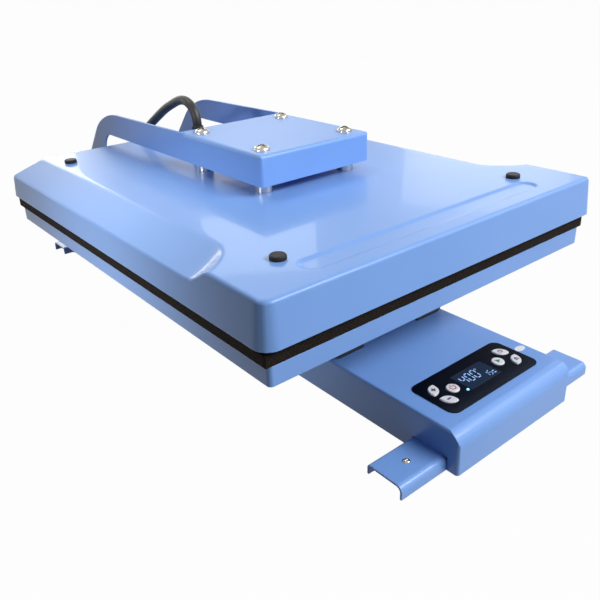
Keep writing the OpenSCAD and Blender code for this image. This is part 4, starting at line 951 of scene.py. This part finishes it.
class Print:
    """Thin raised figures on a node's top: each is an outline, drawn up to its thickness."""

    def __init__(self, node: str, thickness: float) -> None:
        """Start an empty print, which is drawn from the middle of the node's top.

        Args:
            node: CAD node that carries it.
            thickness: Its thickness above the node's top.
        """
        low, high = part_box(node)
        self.bm = bmesh.new()
        self.node = node
        self.middle = Vector(((low[0] + high[0]) / 2, (low[1] + high[1]) / 2, 0)) / MM
        self.base_z = high[2] / MM
        self.thickness = thickness

    def outline(self, points: Iterable[Pair]) -> None:
        """Draw one closed figure.

        Args:
            points: Corners of the figure, anticlockwise.
        """
        ring = [self.bm.verts.new((x, y, self.base_z - 0.02)) for x, y in points]
        face = self.bm.faces.new(ring)
        made = bmesh.ops.extrude_face_region(self.bm, geom=[face])["geom"]
        lifted = [item for item in made if isinstance(item, bmesh.types.BMVert)]
        bmesh.ops.translate(self.bm, vec=(0, 0, self.thickness + 0.02), verts=lifted)

    def bar(self, start: Pair, end: Pair, width: float, point: float = 0.0) -> None:
        """Draw a bar between two places.

        Args:
            start: Middle of its one end.
            end: Middle of its other end.
            width: Its width.
            point: How far each end tapers to a point.
        """
        a, b = Vector(start), Vector(end)
        way = (b - a).normalized()
        off = Vector((-way.y, way.x)) * width / 2
        near, far = a + way * point, b - way * point
        corners = [a, near - off, far - off, b, far + off, near + off]
        if not point:
            corners = [a - off, b - off, b + off, a + off]
        self.outline([(corner.x, corner.y) for corner in corners])

    def ring(self, centre: Pair, radius: float, width: float, start: float, sweep: float) -> None:
        """Draw a ring or a part of one by spinning its section.

        Args:
            centre: Its centre.
            radius: Its middle radius.
            width: Its width.
            start: Angle where it begins, in degrees.
            sweep: Angle that it covers, in degrees.
        """
        turn = Matrix.Rotation(math.radians(start), 3, "Z")
        corners = [
            turn @ Vector((radius + side * width / 2, 0, 0))
            + Vector((*centre, self.base_z + lift))
            for side, lift in ((-1, -0.02), (1, -0.02), (1, self.thickness), (-1, self.thickness))
        ]
        verts = [self.bm.verts.new(corner) for corner in corners]
        edges = [self.bm.edges.new(pair) for pair in zip(verts, verts[1:] + verts[:1])]
        full = abs(sweep) >= 360
        bmesh.ops.spin(
            self.bm,
            geom=verts + edges,
            cent=(*centre, self.base_z),
            axis=(0, 0, 1),
            angle=math.radians(sweep),
            steps=max(8, int(abs(sweep) / 10)),
            use_merge=full,
        )

    def build(self, press: Assembly, name: str, finish: Finish) -> None:
        """Turn the figures into a piece that rides with the node.

        Args:
            press: The assembly.
            name: Name of the piece.
            finish: Its finish.
        """
        place = Matrix.Scale(MM, 4) @ Matrix.Translation(self.middle)
        bmesh.ops.transform(self.bm, matrix=place, verts=self.bm.verts)
        bmesh.ops.recalc_face_normals(self.bm, faces=self.bm.faces)
        obj = press.add(name, mesh_of(self.bm, name), press.body[self.node], finish)
        break_edges(obj, Edge(0.02, 1))


@dataclass(frozen=True)
class Display:
    """Figures of the lit display: a large temperature and a small time.

    Attributes:
        large: Text of the large figures.
        large_at: Lower left corner of the large figures, from the window's middle.
        large_h: Their height.
        small: Text of the small figures.
        small_at: Lower left corner of the small figures.
        small_h: Their height.
    """

    large: str = "400"
    large_at: Pair = (-17.5, -4.0)
    large_h: float = 11.0
    small: str = "15"
    small_at: Pair = (6.2, -9.0)
    small_h: float = 6.4

    SEGMENTS = {"0": "abcdef", "1": "bc", "4": "bcfg", "5": "acdfg"}
    PLACES = {
        "a": ((0, 2), (1, 2)),
        "b": ((1, 1), (1, 2)),
        "c": ((1, 0), (1, 1)),
        "d": ((0, 0), (1, 0)),
        "e": ((0, 0), (0, 1)),
        "f": ((0, 1), (0, 2)),
        "g": ((0, 1), (1, 1)),
    }

    def _figures(self, sheet: Print, text: str, at: Pair, height: float) -> None:
        """Draw seven-segment figures.

        Args:
            sheet: Print that they go on.
            text: The digits.
            at: Lower left corner.
            height: Their height.
        """
        wide, bar, slant = height * 0.44, height * 0.10, 0.10
        for index, digit in enumerate(text):
            left = at[0] + index * height * 0.69
            for segment in self.SEGMENTS[digit]:
                ends = []
                for column, row in self.PLACES[segment]:
                    y = row * height / 2
                    ends.append(Vector((left + column * wide + slant * y, at[1] + y)))
                gap = (ends[1] - ends[0]).normalized() * bar * 0.55
                sheet.bar(tuple(ends[0] + gap), tuple(ends[1] - gap), bar, bar * 0.5)

    def build(self, press: Assembly) -> None:
        """Lay the lit figures on the window.

        Args:
            press: The assembly.
        """
        sheet = Print("lcd_window", 0.06)
        self._figures(sheet, self.large, self.large_at, self.large_h)
        self._figures(sheet, self.small, self.small_at, self.small_h)
        # Degree sign beside the temperature, and two small blocks after the time
        sheet.ring((self.large_at[0] + 23.6, self.large_at[1] + self.large_h - 1.0), 0.85, 0.4, 0, 360)
        left, right, thick = self.small_at[0] + 9.0, self.small_at[0] + 11.4, 1.2
        for row in (0.4, 3.2):
            y = self.small_at[1] + row
            sheet.bar((left, y), (right, y), thick)
        sheet.build(press, "display_figures", LIT_FIGURES)


class Symbol(Enum):
    """Marks printed on the buttons."""

    POWER = "ring with a bar through its gap"
    START = "triangle"
    PLUS = "plus"
    MINUS = "minus"
    TIMER = "clock"
    OPEN = "chevron over a bar"


@dataclass(frozen=True)
class ButtonMark:
    """The mark on one button.

    Attributes:
        button: CAD node of the button.
        symbol: What is printed.
        finish: Its ink.
    """

    button: str
    symbol: Symbol
    finish: Finish

    def build(self, press: Assembly) -> None:
        """Print the mark on the middle of its button.

        Args:
            press: The assembly.
        """
        mark = Print(self.button, 0.04)
        if self.symbol is Symbol.POWER:
            mark.ring((0, 0), 2.7, 1.0, 125, 290)
            mark.bar((0, 0.8), (0, 3.8), 1.0)
        elif self.symbol is Symbol.START:
            mark.outline([(-2.0, -2.8), (3.0, 0), (-2.0, 2.8)])
        elif self.symbol is Symbol.PLUS:
            mark.bar((-2.4, 0), (2.4, 0), 1.4)
            mark.bar((0, 0.72), (0, 2.4), 1.4)
            mark.bar((0, -2.4), (0, -0.72), 1.4)
        elif self.symbol is Symbol.MINUS:
            mark.bar((-2.2, 0), (2.2, 0), 1.5)
        elif self.symbol is Symbol.TIMER:
            mark.ring((0, 0), 2.0, 0.8, 0, 360)
            mark.bar((0, -0.3), (0, 1.3), 0.6)
            mark.bar((0.31, 0), (1.3, 0), 0.6)
        else:
            mark.outline([(-2.4, -0.5), (2.4, -0.5), (0, 2.3)])
            mark.bar((-2.4, -1.7), (2.4, -1.7), 1.0)
        mark.build(press, self.button + "_mark", self.finish)


MARKS: Tuple[ButtonMark, ...] = (
    ButtonMark("power_button", Symbol.POWER, RED_PRINT),
    ButtonMark("start_button", Symbol.START, GREEN_PRINT),
    ButtonMark("plus_button", Symbol.PLUS, DARK_PRINT),
    ButtonMark("minus_button", Symbol.MINUS, DARK_PRINT),
    ButtonMark("timer_button", Symbol.TIMER, DARK_PRINT),
    ButtonMark("open_button", Symbol.OPEN, DARK_PRINT),
)


@dataclass(frozen=True)
class BlankLabel:
    """The small oval film label on the base, left blank.

    Attributes:
        centre: Its place on the base.
        half: Half its length and width.
        top_z: Height of the base there.
    """

    centre: Pair = (67.2, -313.9)
    half: Pair = (6.2, 3.8)
    top_z: float = 42.0

    def build(self, press: Assembly) -> None:
        """Lay the label.

        Args:
            press: The assembly.
        """
        bm = bmesh.new()
        bmesh.ops.create_circle(bm, cap_ends=True, segments=40, radius=1.0)
        made = bmesh.ops.extrude_face_region(bm, geom=bm.faces[:])["geom"]
        lifted = [item for item in made if isinstance(item, bmesh.types.BMVert)]
        bmesh.ops.translate(bm, vec=(0, 0, 0.10), verts=lifted)
        place = Matrix.Translation((*self.centre, self.top_z)) @ Matrix.Diagonal((*self.half, 1.0, 1.0))
        bmesh.ops.transform(bm, matrix=Matrix.Scale(MM, 4) @ place, verts=bm.verts)
        bmesh.ops.recalc_face_normals(bm, faces=bm.faces)
        obj = press.add("blank_label", mesh_of(bm, "blank_label"), "base", LABEL_FILM)
        break_edges(obj, Edge(0.04, 1))


@dataclass(frozen=True)
class Softbox:
    """One soft lamp that looks at the press.

    Attributes:
        name: Its name.
        azimuth: Direction in the plan from which it shines, in degrees from +X.
        elevation: Its height above the horizon, in degrees.
        distance: Its distance, in metres.
        size: Its width and height, in metres.
        level: How strongly it lights a surface that faces it; 1 is a plain level.
        target: What it looks at, in metres.
        beam: Full angle of its light, in degrees; 180 for a bare panel.
    """

    name: str
    azimuth: float
    elevation: float
    distance: float
    size: Pair
    level: float
    target: Point = (0.0, 0.0, 0.1)
    beam: float = 180.0

    def build(self) -> None:
        """Hang the lamp."""
        lamp = bpy.data.lights.new(self.name, "AREA")
        lamp.shape = "RECTANGLE"
        lamp.size, lamp.size_y = self.size
        lamp.energy = self.level * math.pi * self.distance**2 * math.pi
        lamp.spread = math.radians(self.beam)
        a, e = math.radians(self.azimuth), math.radians(self.elevation)
        away = Vector((math.cos(a) * math.cos(e), math.sin(a) * math.cos(e), math.sin(e)))
        obj = show(self.name, lamp)
        obj.location = Vector(self.target) + away * self.distance
        obj.rotation_euler = away.to_track_quat("Z", "Y").to_euler()


@dataclass(frozen=True)
class Studio:
    """Floor, world, lamps and camera.

    Attributes:
        lamps: The soft lamps.
        ambient: Light that comes from all round.
        floor_light: Share of the floor that shows plain white.
    """

    lamps: Tuple[Softbox, ...] = (
        Softbox("key_from_above", 110, 64, 2.6, (1.1, 0.9), 0.22),
        Softbox("fill_from_front", 294, 38, 2.6, (1.6, 0.9), 1.0),
        Softbox("pool_on_left", 184, 18, 1.2, (0.24, 0.24), 0.011, (-0.2, -0.02, 0.13), 16.0),
        Softbox("fold_light_left", 111, 14, 2.8, (0.6, 0.3), 0.035),
        Softbox("fold_light_right", 335, 33, 2.8, (0.5, 0.35), 0.05),
        Softbox("window_right", 30, 15, 2.8, (0.8, 0.6), 0.042),
        Softbox("window_middle", 55, 25, 2.8, (0.6, 0.3), 0.03),
        Softbox("window_left", 80, 16, 2.8, (0.6, 0.6), 0.10),
    )
    ambient: float = 0.05
    floor_light: float = 0.98

    @staticmethod
    def camera() -> None:
        """Set the camera at the photograph's place."""
        data = bpy.data.cameras.new("photo_camera")
        data.sensor_width = 36.0
        data.lens = 40.374
        data.shift_x, data.shift_y = 0.00892, -0.03703
        obj = show("photo_camera", data)
        obj.location = (-0.43056, -0.61081, 0.37374)
        obj.rotation_euler = [math.radians(angle) for angle in (65.1994, 2.0525, -39.09)]
        bpy.context.scene.camera = obj

    @staticmethod
    def _seen(graph: NodeGraph) -> Socket:
        """Add a value that is 1 for rays of the camera, of gloss and of glass.

        Args:
            graph: Tree to add it to.

        Returns:
            The socket that carries it.
        """
        path = graph.add("ShaderNodeLightPath").outputs
        either = graph.combine("MAXIMUM", path["Is Camera Ray"], path["Is Glossy Ray"])
        return graph.combine("MAXIMUM", either, path["Is Transmission Ray"])

    def world(self) -> None:
        """Light the scene softly from all round, and show white behind it."""
        world = bpy.data.worlds.new("studio")
        world.use_nodes = True
        bpy.context.scene.world = world
        graph = NodeGraph(world.node_tree)
        seen = self._seen(graph)
        strength = graph.add(
            "ShaderNodeMapRange", {"Value": seen, "To Min": self.ambient, "To Max": 1.0}
        ).outputs["Result"]
        light = graph.add("ShaderNodeBackground", {"Color": WHITE, "Strength": strength})
        graph.add("ShaderNodeOutputWorld", {"Surface": light.outputs["Background"]})

    def floor(self) -> None:
        """Lay the plain pale floor, which keeps the object's shadow."""
        material = bpy.data.materials.new("studio_floor")
        material.use_nodes = True
        graph = NodeGraph(material.node_tree)
        seen = self._seen(graph)
        share = graph.combine("MULTIPLY", seen, self.floor_light)
        plain = graph.add("ShaderNodeBsdfDiffuse", {"Color": srgb("#6E747C")}).outputs["BSDF"]
        white = graph.add("ShaderNodeEmission", {"Color": WHITE, "Strength": 1.0}).outputs["Emission"]
        mixed = graph.add("ShaderNodeMixShader", {0: share, 1: plain, 2: white}).outputs["Shader"]
        graph.add("ShaderNodeOutputMaterial", {"Surface": mixed})
        bm = bmesh.new()
        bmesh.ops.create_circle(bm, cap_ends=True, segments=64, radius=14.0)
        obj = show("studio_floor", mesh_of(bm, "studio_floor"))
        obj.data.materials.append(material)

    def build(self) -> None:
        """Set up everything that isn't part of the press but the camera."""
        self.world()
        self.floor()
        for lamp in self.lamps:
            lamp.build()
        bpy.context.scene.view_settings.view_transform = "Standard"


class HeatPress:
    """The whole press: its dressed pieces, its own forms and its prints."""

    def __init__(self) -> None:
        """Get the materials and the frame ready."""
        self.press = Assembly(MaterialLibrary())

    def build(self) -> None:
        """Build every piece."""
        pieces = {
            node: DressedPiece(node, edge, node == "insulation_blanket").build(self.press)
            for node, edge in EDGES.items()
        }
        HeaterCable().build(self.press, pieces["cable_boot"])
        HeadCover().build(self.press)
        SpongePad().build(self.press)
        Display().build(self.press)
        for mark in MARKS:
            mark.build(self.press)
        BlankLabel().build(self.press)
        for node, obj in frame["nodes"].items():
            obj.data.materials.clear()
            obj.data.materials.append(self.press.library.of_slot(self.press.slot[node]))
        log.info("%d dressed pieces", len(pieces))


def main() -> None:
    """Build the camera, the press and the studio."""
    studio = Studio()
    studio.camera()
    HeatPress().build()
    studio.build()


if __name__ == "__main__":
    main()
